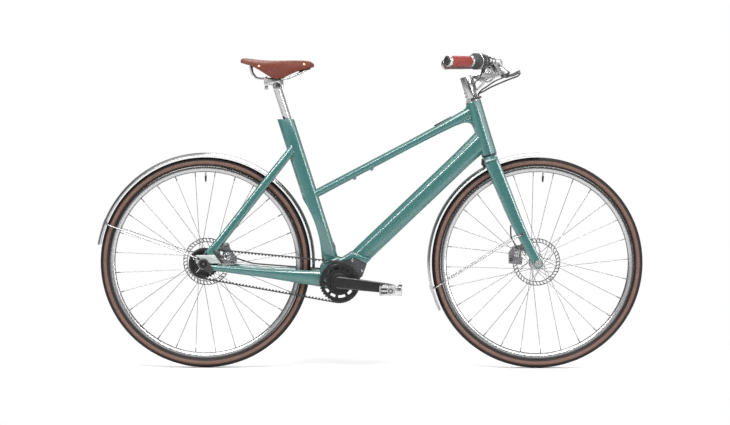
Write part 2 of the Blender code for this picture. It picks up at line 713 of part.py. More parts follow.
def make_chainstays(materials):
    left = add_object("chainstay_left", loft(chainstay_rings(1)), materials["paint"])
    join(left, add_object("dropout_left", dropout_shape(1)))
    cut(left, rear_axle_space())
    right = add_object("chainstay_right", loft(chainstay_rings(-1)), materials["paint"])
    reach = Y_AXIS * 0.1
    cut(right, rod(REAR_AXLE - reach, REAR_AXLE + reach, DROPOUT_RADIUS + GAP, 48))
    dropout = add_object("dropout_right", dropout_shape(-1), materials["satin"])
    cut(dropout, rear_axle_space())
    return left, right, dropout


def make_seatstay(name, side, material):
    foot = REAR_AXLE + Vector((SEATSTAY_FOOT, 0, DROPOUT_HIGH + GAP))
    top = SEAT_TOP - SEAT_UP * SEATSTAY_TOP_DROP - SEAT_AHEAD * 0.008
    stations = [(foot.lerp(top, share) + Y_AXIS * side * offset, half_width, half_depth)
                for share, offset, half_width, half_depth in SEATSTAY_STATIONS]
    rings = tube_rings(stations)
    along = (stations[1][0] - stations[0][0]).normalized()
    rings[0] = trim(rings[0], along, foot, Z_AXIS)
    item = add_object(name, loft(rings), material)
    cut(item, seat_tube_space())
    return item


def make_bearing(name, low, height, material):
    profile = ((STEERER_RADIUS + GAP, 0), (HEAD_TUBE_RADIUS - 0.001, 0),
               (HEAD_TUBE_RADIUS - 0.001, height), (STEERER_RADIUS + GAP, height))
    return place(add_object(name, turned(profile, TUBE_STEPS), material), steer(low), UP)


def make_frame(materials):
    paint = materials["paint"]
    make_head_tube(paint)
    make_top_tube(paint)
    make_down_tube(paint)
    make_seat_tube(paint)
    make_gearbox_bridge(paint)
    make_chainstays(materials)
    for name, side in SIDES:
        make_seatstay("seatstay_" + name, side, paint)
    make_bearing("headset_lower_bearing", FORK_LENGTH + GAP, LOWER_BEARING_HEIGHT, materials["black_metal"])
    make_bearing("headset_upper_bearing", HEAD_HIGH + GAP, UPPER_BEARING_HEIGHT, materials["satin"])


# Wheels

def wheel_ring(name, half_profile, at, material):
    """A ring mirrored about its middle plane, with its flats, not its corners, at each radius."""
    reach = 1 / math.cos(math.pi / WHEEL_STEPS)
    left = [(r * reach, y) for r, y in half_profile]
    right = [(r, -y) for r, y in reversed(left)]
    shape = turned(left + right, WHEEL_STEPS, start=math.pi / WHEEL_STEPS)
    return place(add_object(name, shape, material), at)


def make_tyre(name, at, material):
    low = RIM_RADIUS + GAP
    profile = [(low + (TYRE_HEIGHT - GAP) * h, TYRE_WIDTH / 2 * w) for w, h in TYRE_SHARES]
    return wheel_ring(name, profile, at, material)


def make_rim(name, at, material):
    profile = [(RIM_RADIUS - RIM_DEPTH, RIM_BASE_WIDTH / 2), (RIM_RADIUS - RIM_DEPTH * 0.55, RIM_WIDTH / 2),
               (RIM_RADIUS, RIM_WIDTH / 2)]
    return wheel_ring(name, profile, at, material)


def spokes_shape(first_angle):
    """Crossed spokes, in turn to the left and right flange, that stop at their nipple seats."""
    shape = bmesh.new()
    hub_radius = FLANGE_RADIUS - FLANGE_THICKNESS
    rim_radius = RIM_RADIUS - RIM_DEPTH - 2 * GAP
    for k in range(SPOKE_COUNT):
        side = 1 if k % 2 else -1
        lean = 1 if k // 2 % 2 else -1
        rim_angle = first_angle + FULL_TURN * k / SPOKE_COUNT
        hub_angle = rim_angle + lean * SPOKE_LEAN
        hub_side = side * FLANGE_OFFSET + lean * FLANGE_THICKNESS / 4
        start = Vector((math.cos(hub_angle) * hub_radius, hub_side, math.sin(hub_angle) * hub_radius))
        end = Vector((math.cos(rim_angle) * rim_radius, 0, math.sin(rim_angle) * rim_radius))
        turn = Z_AXIS.rotation_difference(end - start).to_matrix().to_4x4()
        bmesh.ops.create_cone(shape, cap_ends=True, segments=3, radius1=SPOKE_WIDTH / 2,
                              radius2=SPOKE_WIDTH / 2, depth=(end - start).length,
                              matrix=Matrix.Translation((start + end) / 2) @ turn)
    return shape


def make_hub(name, at, right_end, left_end, rotor_offset, first_angle, material):
    bore = AXLE_RADIUS + GAP
    half = FLANGE_THICKNESS / 2
    slope = 0.003
    rotor_end = rotor_offset + ROTOR_THICKNESS / 2 + slope / 3
    right = -FLANGE_OFFSET
    left = FLANGE_OFFSET
    profile = [(bore, right_end), (HUB_END_RADIUS, right_end), (HUB_NECK_RADIUS, right - half - slope),
               (FLANGE_RADIUS, right - half), (FLANGE_RADIUS, right + half),
               (HUB_BARREL_RADIUS, right + half + slope), (HUB_BARREL_RADIUS, left - half - slope),
               (FLANGE_RADIUS, left - half), (FLANGE_RADIUS, left + half),
               (HUB_NECK_RADIUS, left + half + slope / 3), (HUB_NECK_RADIUS, rotor_end),
               (HUB_END_RADIUS, rotor_end), (HUB_END_RADIUS, left_end), (bore, left_end)]
    item = place(add_object(name, turned(profile, HUB_STEPS), material), at)
    spokes = add_object(name + "_spokes", spokes_shape(first_angle))
    spokes.location = at
    join(item, spokes)
    item.modifiers[-1].use_self = True
    return item


def disc_windows(count, inner, outer, share, half_width, first=0.0):
    """Evenly spaced openings between two radii; SHARE is how much of the turn is open."""
    outlines = []
    for k in range(count):
        middle = first + 360 * k / count
        spread = 180 / count * share
        outlines.append(arc((0, 0), outer, middle - spread, middle + spread, 5)
                        + arc((0, 0), inner, middle + spread * 0.8, middle - spread * 0.8, 2))
    return plates(outlines, -half_width, half_width)


def make_rotor(name, at, material):
    half = ROTOR_THICKNESS / 2
    bore = HUB_NECK_RADIUS + GAP
    profile = ((bore, -half), (ROTOR_RADIUS, -half), (ROTOR_RADIUS, half), (bore, half))
    item = place(add_object(name, turned(profile, WHEEL_STEPS), material), at)
    windows = add_object(name + "_windows", disc_windows(ROTOR_ARMS, ROTOR_SPIDER_RADIUS,
                                                         ROTOR_RADIUS - ROTOR_TRACK, 0.82, 0.01))
    windows.location = at
    cut(item, windows)
    return item


def make_axle(name, at, half_length, material):
    """A plain through axle with a round head on the drive side."""
    head = half_length + AXLE_HEAD_LENGTH
    profile = ((0, -head), (AXLE_HEAD_RADIUS, -head), (AXLE_HEAD_RADIUS, -half_length),
               (AXLE_RADIUS, -half_length), (AXLE_RADIUS, half_length), (0, half_length))
    return place(add_object(name, turned(profile, HUB_STEPS, solid=True), material), at)


def make_wheel(name, axle, right_end, left_end, rotor_offset, first_angle, materials):
    items = [make_tyre(name + "_tyre", axle, materials["sidewall"]),
             make_rim(name + "_rim", axle, materials["satin"]),
             make_hub(name + "_hub", axle, right_end, left_end, rotor_offset, first_angle,
                      materials["satin"]),
             make_rotor(name + "_rotor", axle + Y_AXIS * rotor_offset, materials["polished"])]
    return make_pivot(name + "_wheel_pivot", axle, items)


def make_wheels(materials):
    front_end = FRONT_HUB_WIDTH / 2 - GAP
    front = make_wheel("front", FRONT_AXLE, -front_end, front_end, FRONT_ROTOR_OFFSET, FRONT_SPOKE_ANGLE,
                       materials)
    sprocket_face = BELT_LINE - SPROCKET_WIDTH / 2
    make_wheel("rear", REAR_AXLE, GAP - sprocket_face, REAR_DROPOUT_INNER, REAR_ROTOR_OFFSET,
               REAR_SPOKE_ANGLE, materials)
    make_axle("rear_axle", REAR_AXLE, REAR_DROPOUT_INNER + DROPOUT_THICKNESS + 2 * GAP, materials["satin"])
    return front


# Gearbox, belt and cranks

def pitch_radius(teeth):
    return teeth * BELT_PITCH / FULL_TURN


def sprocket_radius(teeth):
    return pitch_radius(teeth) - BELT_ROOT - GAP


def spindle_space(radius=SPINDLE_RADIUS + GAP):
    reach = Y_AXIS * 0.15
    return rod(BRACKET - reach, BRACKET + reach, radius, 24)


def make_gearbox(materials):
    half = GEARBOX_WIDTH / 2
    housing_shape = plate(gearbox_outline(), -half, half, BRACKET)
    housing = add_object("gearbox_housing", housing_shape, materials["cast"])
    cut(housing, spindle_space())
    outline = grown(gearbox_outline(), -COVER_INSET)
    cover_shape = plate(outline, -half - GAP - COVER_THICKNESS, -half - GAP, BRACKET)
    cover = add_object("gearbox_cover", cover_shape, materials["cast"])
    x, z = COVER_DRUM
    inner = -half - GAP - COVER_THICKNESS / 2
    outer = -half - GAP - COVER_THICKNESS - COVER_DRUM_HEIGHT
    drum_foot = BRACKET + Vector((x, inner, z))
    drum_face = BRACKET + Vector((x, outer, z))
    join(cover, rod(drum_foot, drum_face, COVER_DRUM_RADIUS, 36))
    cut(cover, spindle_space())


def make_front_sprocket(material):
    radius = sprocket_radius(FRONT_TEETH)
    half = SPROCKET_WIDTH / 2
    bore = SPINDLE_RADIUS + GAP
    face = -half - CARRIER_HEIGHT
    profile = ((bore, face), (CARRIER_RADIUS, face), (CARRIER_RADIUS, -half), (radius, -half),
               (radius, half), (bore, half))
    at = BRACKET - Y_AXIS * BELT_LINE
    item = place(add_object("front_sprocket", turned(profile, FRONT_TEETH), material), at)
    outer = radius - SPROCKET_RIM
    for first, share in SPROCKET_SLOTS:
        slots = disc_windows(SPROCKET_SLOT_PAIRS, outer - SPROCKET_SLOT_DEPTH, outer, share, 0.02, first)
        cutter = add_object("sprocket_slots", slots)
        cutter.location = at
        cut(item, cutter)
    return item


def make_rear_sprocket(material):
    radius = sprocket_radius(REAR_TEETH)
    inner_face = -BELT_LINE + SPROCKET_WIDTH / 2
    outer_face = -BELT_LINE - SPROCKET_WIDTH / 2
    bore = AXLE_RADIUS + GAP
    profile = ((bore, -REAR_DROPOUT_INNER), (DRIVER_RADIUS, -REAR_DROPOUT_INNER),
               (DRIVER_RADIUS, outer_face), (radius, outer_face), (radius, inner_face), (bore, inner_face))
    return place(add_object("rear_sprocket", turned(profile, REAR_TEETH), material), REAR_AXLE)


def belt_loop(offset):
    """Side-view points of the belt at a distance from its pitch line."""
    line = BRACKET - REAR_AXLE
    front_radius = pitch_radius(FRONT_TEETH) + offset
    rear_radius = pitch_radius(REAR_TEETH) + offset
    slope = math.degrees(math.atan2(line.z, line.x))
    spread = math.degrees(math.acos((rear_radius - front_radius) / line.length))
    front = arc((BRACKET.x, BRACKET.z), front_radius, slope - spread, slope + spread, 22)
    rear = arc((REAR_AXLE.x, REAR_AXLE.z), rear_radius, slope + spread, slope - spread + 360, 20)
    return front + rear


def make_belt(material):
    near = -BELT_LINE - BELT_WIDTH / 2
    far = -BELT_LINE + BELT_WIDTH / 2
    rings = []
    for back, root in zip(belt_loop(BELT_BACK), belt_loop(-BELT_ROOT)):
        corners = ((back, near), (back, far), (root, far), (root, near))
        rings.append([Vector((x, y, z)) for (x, z), y in corners])
    return add_object("drive_belt", loft(rings, closed=True), material)


def crank_outline():
    along, half = CRANK_WAIST
    return (arc((0, 0), CRANK_ROOT_RADIUS, 90, 270, 14) + [(along, -half)]
            + arc((CRANK_LENGTH, 0), CRANK_TIP_RADIUS, -90, 90, 8) + [(along, half)])


def crank_end(side):
    """The pedal's axis in the side view; the left arm points the opposite way."""
    return BRACKET - Vector((math.cos(CRANK_ANGLE), 0, math.sin(CRANK_ANGLE))) * side * CRANK_LENGTH


def make_crank_arm(name, side, material):
    along = (crank_end(side) - BRACKET).normalized()
    inner = side * CRANK_INNER
    outer = side * (CRANK_INNER + CRANK_THICKNESS)
    shape = plate(crank_outline(), min(inner, outer), max(inner, outer), BRACKET, along,
                  along.cross(Y_AXIS))
    item = add_object(name, shape, material)
    pin_start = crank_end(side) + Y_AXIS * side * (CRANK_INNER + CRANK_THICKNESS / 2)
    pin_end = crank_end(side) + Y_AXIS * side * (PEDAL_INNER + PEDAL_PIN_DEPTH)
    join(item, rod(pin_start, pin_end, PEDAL_PIN_RADIUS))
    return item


def make_pedal(name, side, material):
    at = crank_end(side) + Y_AXIS * side * (PEDAL_INNER + PEDAL_WIDTH / 2)
    x, y, c = PEDAL_LENGTH / 2, PEDAL_WIDTH / 2, PEDAL_CORNER
    outline = [(x - c, -y), (x, c - y), (x, y - c), (x - c, y),
               (c - x, y), (-x, y - c), (-x, c - y), (c - x, -y)]
    half = PEDAL_HEIGHT / 2
    item = add_object(name, plate(outline, -half, half, up=Y_AXIS), material)
    windows = []
    for end in (-1, 1):
        near, far = sorted((end * PEDAL_CORE, end * (x - PEDAL_RAIL)))
        windows.append([(near, PEDAL_RAIL - y), (far, PEDAL_RAIL - y), (far, y - PEDAL_RAIL),
                        (near, y - PEDAL_RAIL)])
    window_cutter = add_object(name + "_windows", plates(windows, -2 * half, 2 * half, up=Y_AXIS))
    bore_start = Vector((0, -side * 2 * y, 0))
    bore_end = Vector((0, side * (PEDAL_PIN_DEPTH + GAP - y), 0))
    bore = rod(bore_start, bore_end, PEDAL_PIN_RADIUS + GAP)
    for part in (item, window_cutter, bore):
        part.location += at
    cut(item, window_cutter, bore)
    return make_pivot(name + "_pivot", at, [item])


def make_drive(materials):
    make_gearbox(materials)
    make_belt(materials["rubber"])
    front_sprocket = make_front_sprocket(materials["black_metal"])
    make_rear_sprocket(materials["satin"])
    right = make_crank_arm("crank_arm_right", -1, materials["black_metal"])
    cut(right, spindle_space())
    left = make_crank_arm("crank_arm_left", 1, materials["black_metal"])
    right_face = BRACKET - Y_AXIS * (CRANK_INNER + CRANK_THICKNESS - GAP)
    join(left, rod(right_face, BRACKET + Y_AXIS * (CRANK_INNER + CRANK_THICKNESS / 2), SPINDLE_RADIUS, 24))
    pedals = [make_pedal("pedal_" + name, side, materials["satin"]) for name, side in SIDES]
    make_pivot("crank_pivot", BRACKET, [left, right, *pedals])
    return front_sprocket


# Fork and front axle

def blade_rings(side, grow=0.0):
    stations = []
    for height, lead, offset, half_width, half_depth in BLADE_STATIONS:
        centre = steer(height * CROWN_LOW, lead * FORK_RAKE, side * offset)
        stations.append((centre, half_width, half_depth))
    rings = tube_rings(stations, grow)
    along = (stations[0][0] - stations[1][0]).normalized()
    rings[0] = trim(rings[0], along, steer(CROWN_LOW - GAP), UP)
    return rings


def make_fork_blade(name, side, material):
    item = add_object(name, loft(blade_rings(side)), material)
    reach = Y_AXIS * 0.2
    cut(item, rod(FRONT_AXLE - reach, FRONT_AXLE + reach, AXLE_RADIUS + GAP, 24))
    return item


def make_steerer(material):
    """The crown across the blades and the tube that turns in the head tube."""
    shoulder = CROWN_LOW + CROWN_HEIGHT * 0.4
    half = CROWN_HALF_WIDTH
    top = half - CROWN_SHOULDER
    outline = [(-half, CROWN_LOW), (half, CROWN_LOW), (half, shoulder), (top, FORK_LENGTH),
               (-top, FORK_LENGTH), (-half, shoulder)]
    shape = plate(outline, -CROWN_HALF_DEPTH, CROWN_HALF_DEPTH, steer(0), Y_AXIS, UP)
    item = add_object("fork_steerer", shape, material)
    column = rod(steer(FORK_LENGTH - CROWN_HEIGHT / 2), steer(STEM_HIGH - GAP), STEERER_RADIUS, TUBE_STEPS)
    join(item, column)
    return item


def steerer_space():
    return rod(steer(FORK_LENGTH), steer(STEM_HIGH + 0.02), STEERER_RADIUS + GAP, TUBE_STEPS)


# Stem, port and bar

def bar_end(side):
    """The tip of the bar, the way in along the grip and the way out to the brake lever."""
    inward = Vector((math.cos(GRIP_SWEEP), -side * math.sin(GRIP_SWEEP), 0))
    outward = Vector((math.sin(GRIP_SWEEP), side * math.cos(GRIP_SWEEP), 0))
    reach = outward * math.cos(LEVER_DROP) - Z_AXIS * math.sin(LEVER_DROP)
    return bar_clamp() + Vector((-GRIP_BACK, side * GRIP_SPREAD, GRIP_RISE)), inward, reach


def bar_clamp():
    return steer(HEAD_HIGH + STEM_RISE, STEM_REACH)


def make_port(material):
    outline = (arc((0, 0), PORT_RADIUS, 150, 390, 16)
               + arc((0, PORT_LOBE_REACH), PORT_LOBE_RADIUS, 0, 180, 10))
    item = add_object("cable_port", plate(outline, PORT_LOW, PORT_HIGH, steer(0), Y_AXIS, AHEAD), material)
    cut(item, steerer_space())
    return item


def make_stem(material):
    column = add_object("stem", turned(((0, 0), (STEM_RADIUS, 0), (STEM_RADIUS, STEM_HEIGHT),
                                        (0, STEM_HEIGHT)), TUBE_STEPS, solid=True), material)
    place(column, steer(STEM_LOW), UP)
    centre = HEAD_HIGH + STEM_RISE
    half = Y_AXIS * BAR_CLAMP_HALF_WIDTH
    clamp = rod(bar_clamp() - half, bar_clamp() + half, BAR_CLAMP_RADIUS, TUBE_STEPS)
    low_inner = (0, STEM_LOW + 0.007)
    low_outer = (STEM_REACH - 0.008, centre - BAR_CLAMP_RADIUS + 0.004)
    top_outer = (STEM_REACH, centre + BAR_CLAMP_RADIUS - 0.0015)
    top_inner = (0, STEM_HIGH - 0.003)
    gusset = plate([low_inner, low_outer, top_outer, top_inner], -STEM_HALF_THICKNESS, STEM_HALF_THICKNESS,
                   steer(0), AHEAD, UP)
    back = STEM_RADIUS + 0.004
    window = [(back, STEM_LOW + 0.025), (STEM_REACH - BAR_CLAMP_RADIUS - 0.002, centre - 0.014),
              (back, STEM_HIGH - 0.0115)]
    window_shape = plate(window, -2 * STEM_HALF_THICKNESS, 2 * STEM_HALF_THICKNESS, steer(0), AHEAD, UP)
    join(column, clamp, add_object("stem_gusset", gusset))
    bar_room = rod(bar_clamp() - half * 2, bar_clamp() + half * 2, BAR_CENTRE_RADIUS + GAP, TUBE_STEPS)
    cut(column, add_object("stem_window", window_shape), bar_room, steerer_space())
    return column


def bar_share(point):
    """How much thicker than its ends the bar is at a point."""
    near, far = BAR_SWELL
    share = (far - abs(point.y)) / (far - near)
    return 1 + (BAR_CENTRE_RADIUS / BAR_RADIUS - 1) * min(max(share, 0), 1)


def make_handlebar(material):
    half = []
    for side in (1, -1):
        tip, inward, _ = bar_end(side)
        bends = [bar_clamp() + Vector((x, side * y, z)) for x, y, z in BAR_POINTS]
        places = (BAR_STRAIGHT, BRACKET_CLAMP[1] + 0.003, 0.050, 0.001)
        half.append(bends + [tip + inward * place for place in places])
    points = half[0][::-1] + half[1][1:]
    route = smooth_route(points, 0.018)
    return tube("handlebar", route, BAR_RADIUS, material, 3, [bar_share(point) for point in route])


def make_grip(name, side, length, material):
    tip, inward, _ = bar_end(side)
    ring, radius = GRIP_RING_RADIUS, GRIP_RADIUS
    profile = ((0, -0.006), (0.013, -0.006), (ring - 0.002, -0.003), (ring, 0), (ring, 0.006),
               (radius, 0.008), (radius, length - 0.008), (ring - 0.0005, length - 0.006),
               (ring - 0.0005, length), (BAR_BORE, length), (BAR_BORE, 0.001 - GAP), (0, 0.001 - GAP))
    return place(add_object(name, turned(profile, HUB_STEPS, solid=True), material), tip, inward)


def bar_ring(name, profile, side, material=None):
    tip, inward, _ = bar_end(side)
    return place(add_object(name, turned(profile, TUBE_STEPS), material), tip, inward)


def make_shifter(materials):
    """The twist barrel, which turns on the bar, and its fixed housing with the cable's outlet."""
    low = RIGHT_GRIP_LENGTH + GAP
    high = SHIFTER_END
    edge = GRIP_RING_RADIUS - 0.0005
    barrel = bar_ring("shifter_barrel", ((BAR_BORE, low), (edge, low), (SHIFTER_RADIUS, low + SHIFTER_CONE),
                                         (SHIFTER_RADIUS, high - 0.002), (SHIFTER_RADIUS - 0.001, high),
                                         (BAR_BORE, high)), -1, materials["black_plastic"])
    start = high + GAP
    end = start + SHIFTER_HOUSING_LENGTH
    radius = SHIFTER_HOUSING_RADIUS
    housing = bar_ring("shifter_housing", ((BAR_BORE, start), (radius, start), (radius, end - 0.006),
                                           (radius - 0.006, end), (BAR_BORE, end)), -1,
                       materials["black_plastic"])
    tip, inward, _ = bar_end(-1)
    middle = tip + inward * (start + SHIFTER_HOUSING_LENGTH / 2)
    join(housing, rod(middle - Z_AXIS * 0.016, middle + Vector(SHIFTER_TAIL), SHIFTER_TAIL_RADIUS, 12))
    return barrel, housing


# Brake levers

def lever_point(side, place, distance):
    tip, inward, reach = bar_end(side)
    return tip + inward * place + reach * distance


def lever_plate(name, outline, side, low, high, material=None):
    """A plate in the plane of the grip and the lever."""
    tip, inward, reach = bar_end(side)
    return add_object(name, plate(outline, low, high, tip, inward, reach), material)


def lever_hinge(side):
    """The direction of a lever's pin, square to its blade."""
    _, inward, reach = bar_end(side)
    return reach.cross(inward)


def make_lever_bracket(name, side, material):
    near, far = BRACKET_CLAMP
    item = bar_ring(name, ((BAR_BORE, near), (BRACKET_CLAMP_RADIUS, near), (BRACKET_CLAMP_RADIUS, far),
                           (BAR_BORE, far)), side, material)
    pivot_place, pivot_reach = LEVER_PIVOT
    body_top = pivot_reach - LEVER_BOSS_RADIUS - LEVER_GAP * 2
    cheek_low = LEVER_HALF_WIDTH + GAP
    cheek_high = cheek_low + 0.004
    body = lever_plate(name + "_body", [(near - 0.002, BAR_BORE + 0.002), (far + 0.002, BAR_BORE + 0.002),
                                        (far + 0.002, body_top - 0.005), (far - 0.002, body_top),
                                        (near - 0.002, body_top)], side, -0.006, cheek_high)
    cheek = lever_plate(name + "_cheek", [(near - 0.002, body_top - 0.010), (far, body_top - 0.010),
                                          (far, pivot_reach + 0.003), (pivot_place, pivot_reach + 0.008),
                                          (near - 0.002, pivot_reach + 0.003)], side, cheek_low, cheek_high)
    pivot = lever_point(side, pivot_place, pivot_reach)
    hinge = lever_hinge(side)
    pin = rod(pivot - hinge * LEVER_HALF_WIDTH, pivot + hinge * (cheek_low + 0.002), LEVER_PIN_RADIUS, 16)
    root = lever_point(side, (near + far) / 2, 0)
    x, y, z = CYLINDER_END
    end = root + Vector((x, -side * y, z))
    start = root.lerp(end, 0.24)
    bar_room = rod(root - bar_end(side)[1] * 0.04, root + bar_end(side)[1] * 0.04, BAR_BORE, TUBE_STEPS)
    join(item, body, cheek, pin, rod(start, end, CYLINDER_RADIUS, 12))
    cut(item, bar_room)
    return item


def make_lever(name, side, material):
    boss = arc(LEVER_PIVOT, LEVER_BOSS_RADIUS, -130, 80, 7)
    item = lever_plate(name, [*LEVER_INNER_EDGE, *boss, *LEVER_OUTER_EDGE], side, -LEVER_HALF_WIDTH,
                       LEVER_HALF_WIDTH, material)
    pivot = lever_point(side, *LEVER_PIVOT)
    reach = lever_hinge(side) * 0.02
    cut(item, rod(pivot - reach, pivot + reach, LEVER_PIN_RADIUS + GAP, 16))
    make_pivot(name + "_pivot", pivot, [item])
    return item


# Callipers

def make_caliper(name, outline, span, axle, rotor_offset, materials):
    item = add_object(name, plate(outline, *span, axle), materials["cast"])
    half = ROTOR_THICKNESS / 2 + BRAKE_GAP
    radius = ROTOR_RADIUS + 2 * BRAKE_GAP
    slot = turned(((0, -half), (radius, -half), (radius, half), (0, half)), WHEEL_STEPS, solid=True)
    cut(item, place(add_object(name + "_slot", slot), axle + Y_AXIS * rotor_offset))
    return item


def make_brakes(materials):
    """The callipers, each cut to the stay or blade that carries it, and their hoses."""
    front = make_caliper("front_caliper", FRONT_CALIPER, FRONT_CALIPER_SPAN, FRONT_AXLE, FRONT_ROTOR_OFFSET,
                         materials)
    cut(front, add_object("blade_space", loft(blade_rings(1, GAP))))
    rear = make_caliper("rear_caliper", REAR_CALIPER, REAR_CALIPER_SPAN, REAR_AXLE, REAR_ROTOR_OFFSET,
                        materials)
    cut(rear, add_object("chainstay_space", loft(chainstay_rings(1, GAP))))
    front_hose = make_cord("front_brake_hose", FRONT_HOSE, HOSE_RADIUS, materials["rubber"])
    make_cord("rear_brake_hose", REAR_HOSE, HOSE_RADIUS, materials["rubber"])
    return [front, front_hose]


def make_cord(name, points, radius, material):
    route = smooth_route([Vector(point) for point in points], 6 * radius)
    return tube(name, route, radius, material)


# Fenders

def make_fender(name, axle, start, end, material):
    half = FENDER_WIDTH / 2
    crown = []
    for i in range(5):
        y = half * (i / 2 - 1)
        crown.append((FENDER_RADIUS - FENDER_DROP * (y / half) ** 2, y))
    under = [(r - FENDER_THICKNESS, y) for r, y in reversed(crown)]
    steps = round((end - start) / 6.2)
    shape = turned(crown + under, steps, math.radians(start), math.radians(end - start))
    return place(add_object(name, shape, material), axle)


def make_fender_stay(name, axle, angle, leg_foot, material):
    """One bent wire: two legs from the frame or fork that meet below the fender's crown."""
    outward = Vector((math.cos(angle), 0, math.sin(angle)))
    crown = FENDER_RADIUS - FENDER_THICKNESS - STAY_RADIUS - 3 * GAP
    turns = ((0.032, crown - 0.0136), (0.025, crown - 0.0090), (0.014, crown - 0.0050))
    left = [axle + outward * radius + Y_AXIS * y for y, radius in turns]
    right = [axle + outward * radius - Y_AXIS * y for y, radius in reversed(turns)]
    foot = Vector(leg_foot)
    mirrored = Vector((foot.x, -foot.y, foot.z))
    near_foot = foot.lerp(left[0], 0.97)
    near_mirrored = mirrored.lerp(right[-1], 0.97)
    points = [foot, near_foot, *left, axle + outward * crown, *right, near_mirrored, mirrored]
    bend = smooth_route(points[1:-1], 0.008)
    return tube(name, [points[0], *bend, points[-1]], STAY_RADIUS, material)


def make_fenders(materials):
    make_fender("rear_fender", REAR_AXLE, REAR_FENDER_START, REAR_FENDER_END, materials["polished"])
    front = make_fender("front_fender", FRONT_AXLE, FRONT_FENDER_START, FRONT_FENDER_END,
                        materials["polished"])
    back = -CROWN_HALF_DEPTH - GAP
    low = CROWN_LOW - 0.0095
    high = FORK_LENGTH - 0.002
    outline = [(back - 0.006, low), (back, low), (back, high), (back - 0.004, high),
               (back - 0.012, low + 0.008)]
    bracket = plate(outline, -FENDER_BRACKET_HALF_WIDTH, FENDER_BRACKET_HALF_WIDTH, steer(0), AHEAD, UP)
    join(front, add_object("fender_bracket", bracket))
    dropout_outer = REAR_DROPOUT_INNER + DROPOUT_THICKNESS + 2 * GAP + STAY_RADIUS + STAY_FLARE
    x, z = STAY_REAR_EYELET
    make_fender_stay("rear_fender_stay", REAR_AXLE, REAR_STAY_ANGLE,
                     REAR_AXLE + Vector((x, dropout_outer, z)), materials["satin"])
    x, z = STAY_FORK_PLACE
    stay = make_fender_stay("front_fender_stay", FRONT_AXLE, FRONT_STAY_ANGLE,
                            FRONT_AXLE + Vector((x, STAY_FORK_OFFSET, z)), materials["satin"])
    return [front, stay]


# Seat

def make_seatpost(material):
    bottom = SEAT_TOP - SEAT_UP * POST_INSERTION
    length = POST_INSERTION + POST_HEAD_RISE - POST_HEAD_RADIUS / 3
    profile = ((0, 0), (POST_RADIUS, 0), (POST_RADIUS, length), (0, length))
    item = place(add_object("seatpost", turned(profile, TUBE_STEPS, solid=True), material), bottom, SEAT_UP)
    half = Y_AXIS * POST_HEAD_HALF_WIDTH
    join(item, rod(POST_HEAD - half, POST_HEAD + half, POST_HEAD_RADIUS, TUBE_STEPS))
    return item


def make_saddle_clamp(material):
    top = RAIL_RISE + 0.0006
    back, front = -SADDLE_CLAMP_BACK, SADDLE_CLAMP_FRONT
    outline = [(back, SADDLE_CLAMP_LOW + 0.004), (back + 0.004, SADDLE_CLAMP_LOW),
               (front, SADDLE_CLAMP_LOW), (front, top), (back, top)]
    half = SADDLE_CLAMP_HALF_WIDTH
    item = add_object("saddle_clamp", plate(outline, -half, half, POST_HEAD), material)
    reach = Y_AXIS * 2 * half
    cut(item, rod(POST_HEAD - reach, POST_HEAD + reach, POST_HEAD_RADIUS + GAP, TUBE_STEPS),
        rod(POST_HEAD - SEAT_UP * 0.05, POST_HEAD, POST_RADIUS + 0.004, 24))
    for side in (1, -1):
        middle = POST_HEAD + Vector((0, side * RAIL_OFFSET, RAIL_RISE))
        cut(item, rod(middle - X_AXIS * 0.06, middle + X_AXIS * 0.06, RAIL_RADIUS + GAP, 16))
    return item


def saddle_ring(along, top, low, half_width):
    """One section of the leather: over the top from flap to flap and back below it."""
    ring = []
    for inset, order in ((0.0, 1), (LEATHER_THICKNESS, -1)):
        arch = []
        for i in range(LEATHER_STEPS + 1):
            angle = math.pi * (i / LEATHER_STEPS - 0.5)
            y = math.copysign(abs(math.sin(angle)) ** (2 / LEATHER_POWER), math.sin(angle))
            z = max(math.cos(angle), 0) ** (2 / LEATHER_POWER)
            height = low + (top - inset - low) * z
            arch.append(POST_HEAD + Vector((along, (half_width - inset) * y, height)))
        ring.extend(arch[::order])
    return ring


def make_rails(material):
    """One wire from the cantle down, forward through the clamp, round the nose and back."""
    station = SADDLE_STATIONS[2]
    under = saddle_ring(*station)[3 * LEATHER_STEPS // 2 + 2]
    under.y = abs(under.y)
    left = [under - Z_AXIS * 5 * GAP] + [POST_HEAD + Vector(point) for point in RAIL_POINTS]
    right = [Vector((p.x, -p.y, p.z)) for p in reversed(left)]
    route = smooth_route([*left, POST_HEAD + Vector(RAIL_NOSE), *right], 0.013)
    return tube("saddle_rails", route, RAIL_RADIUS, material)


def make_seat(materials):
    leather = add_object("saddle_leather", loft([saddle_ring(*station) for station in SADDLE_STATIONS]),
                         materials["leather"])
    saddle = [leather, make_saddle_clamp(materials["polished"]), make_rails(materials["polished"])]
    tilt = make_pivot("saddle_pivot", POST_HEAD, saddle)
    return make_pivot("seatpost_pivot", SEAT_TOP, [make_seatpost(materials["polished"]), tilt])


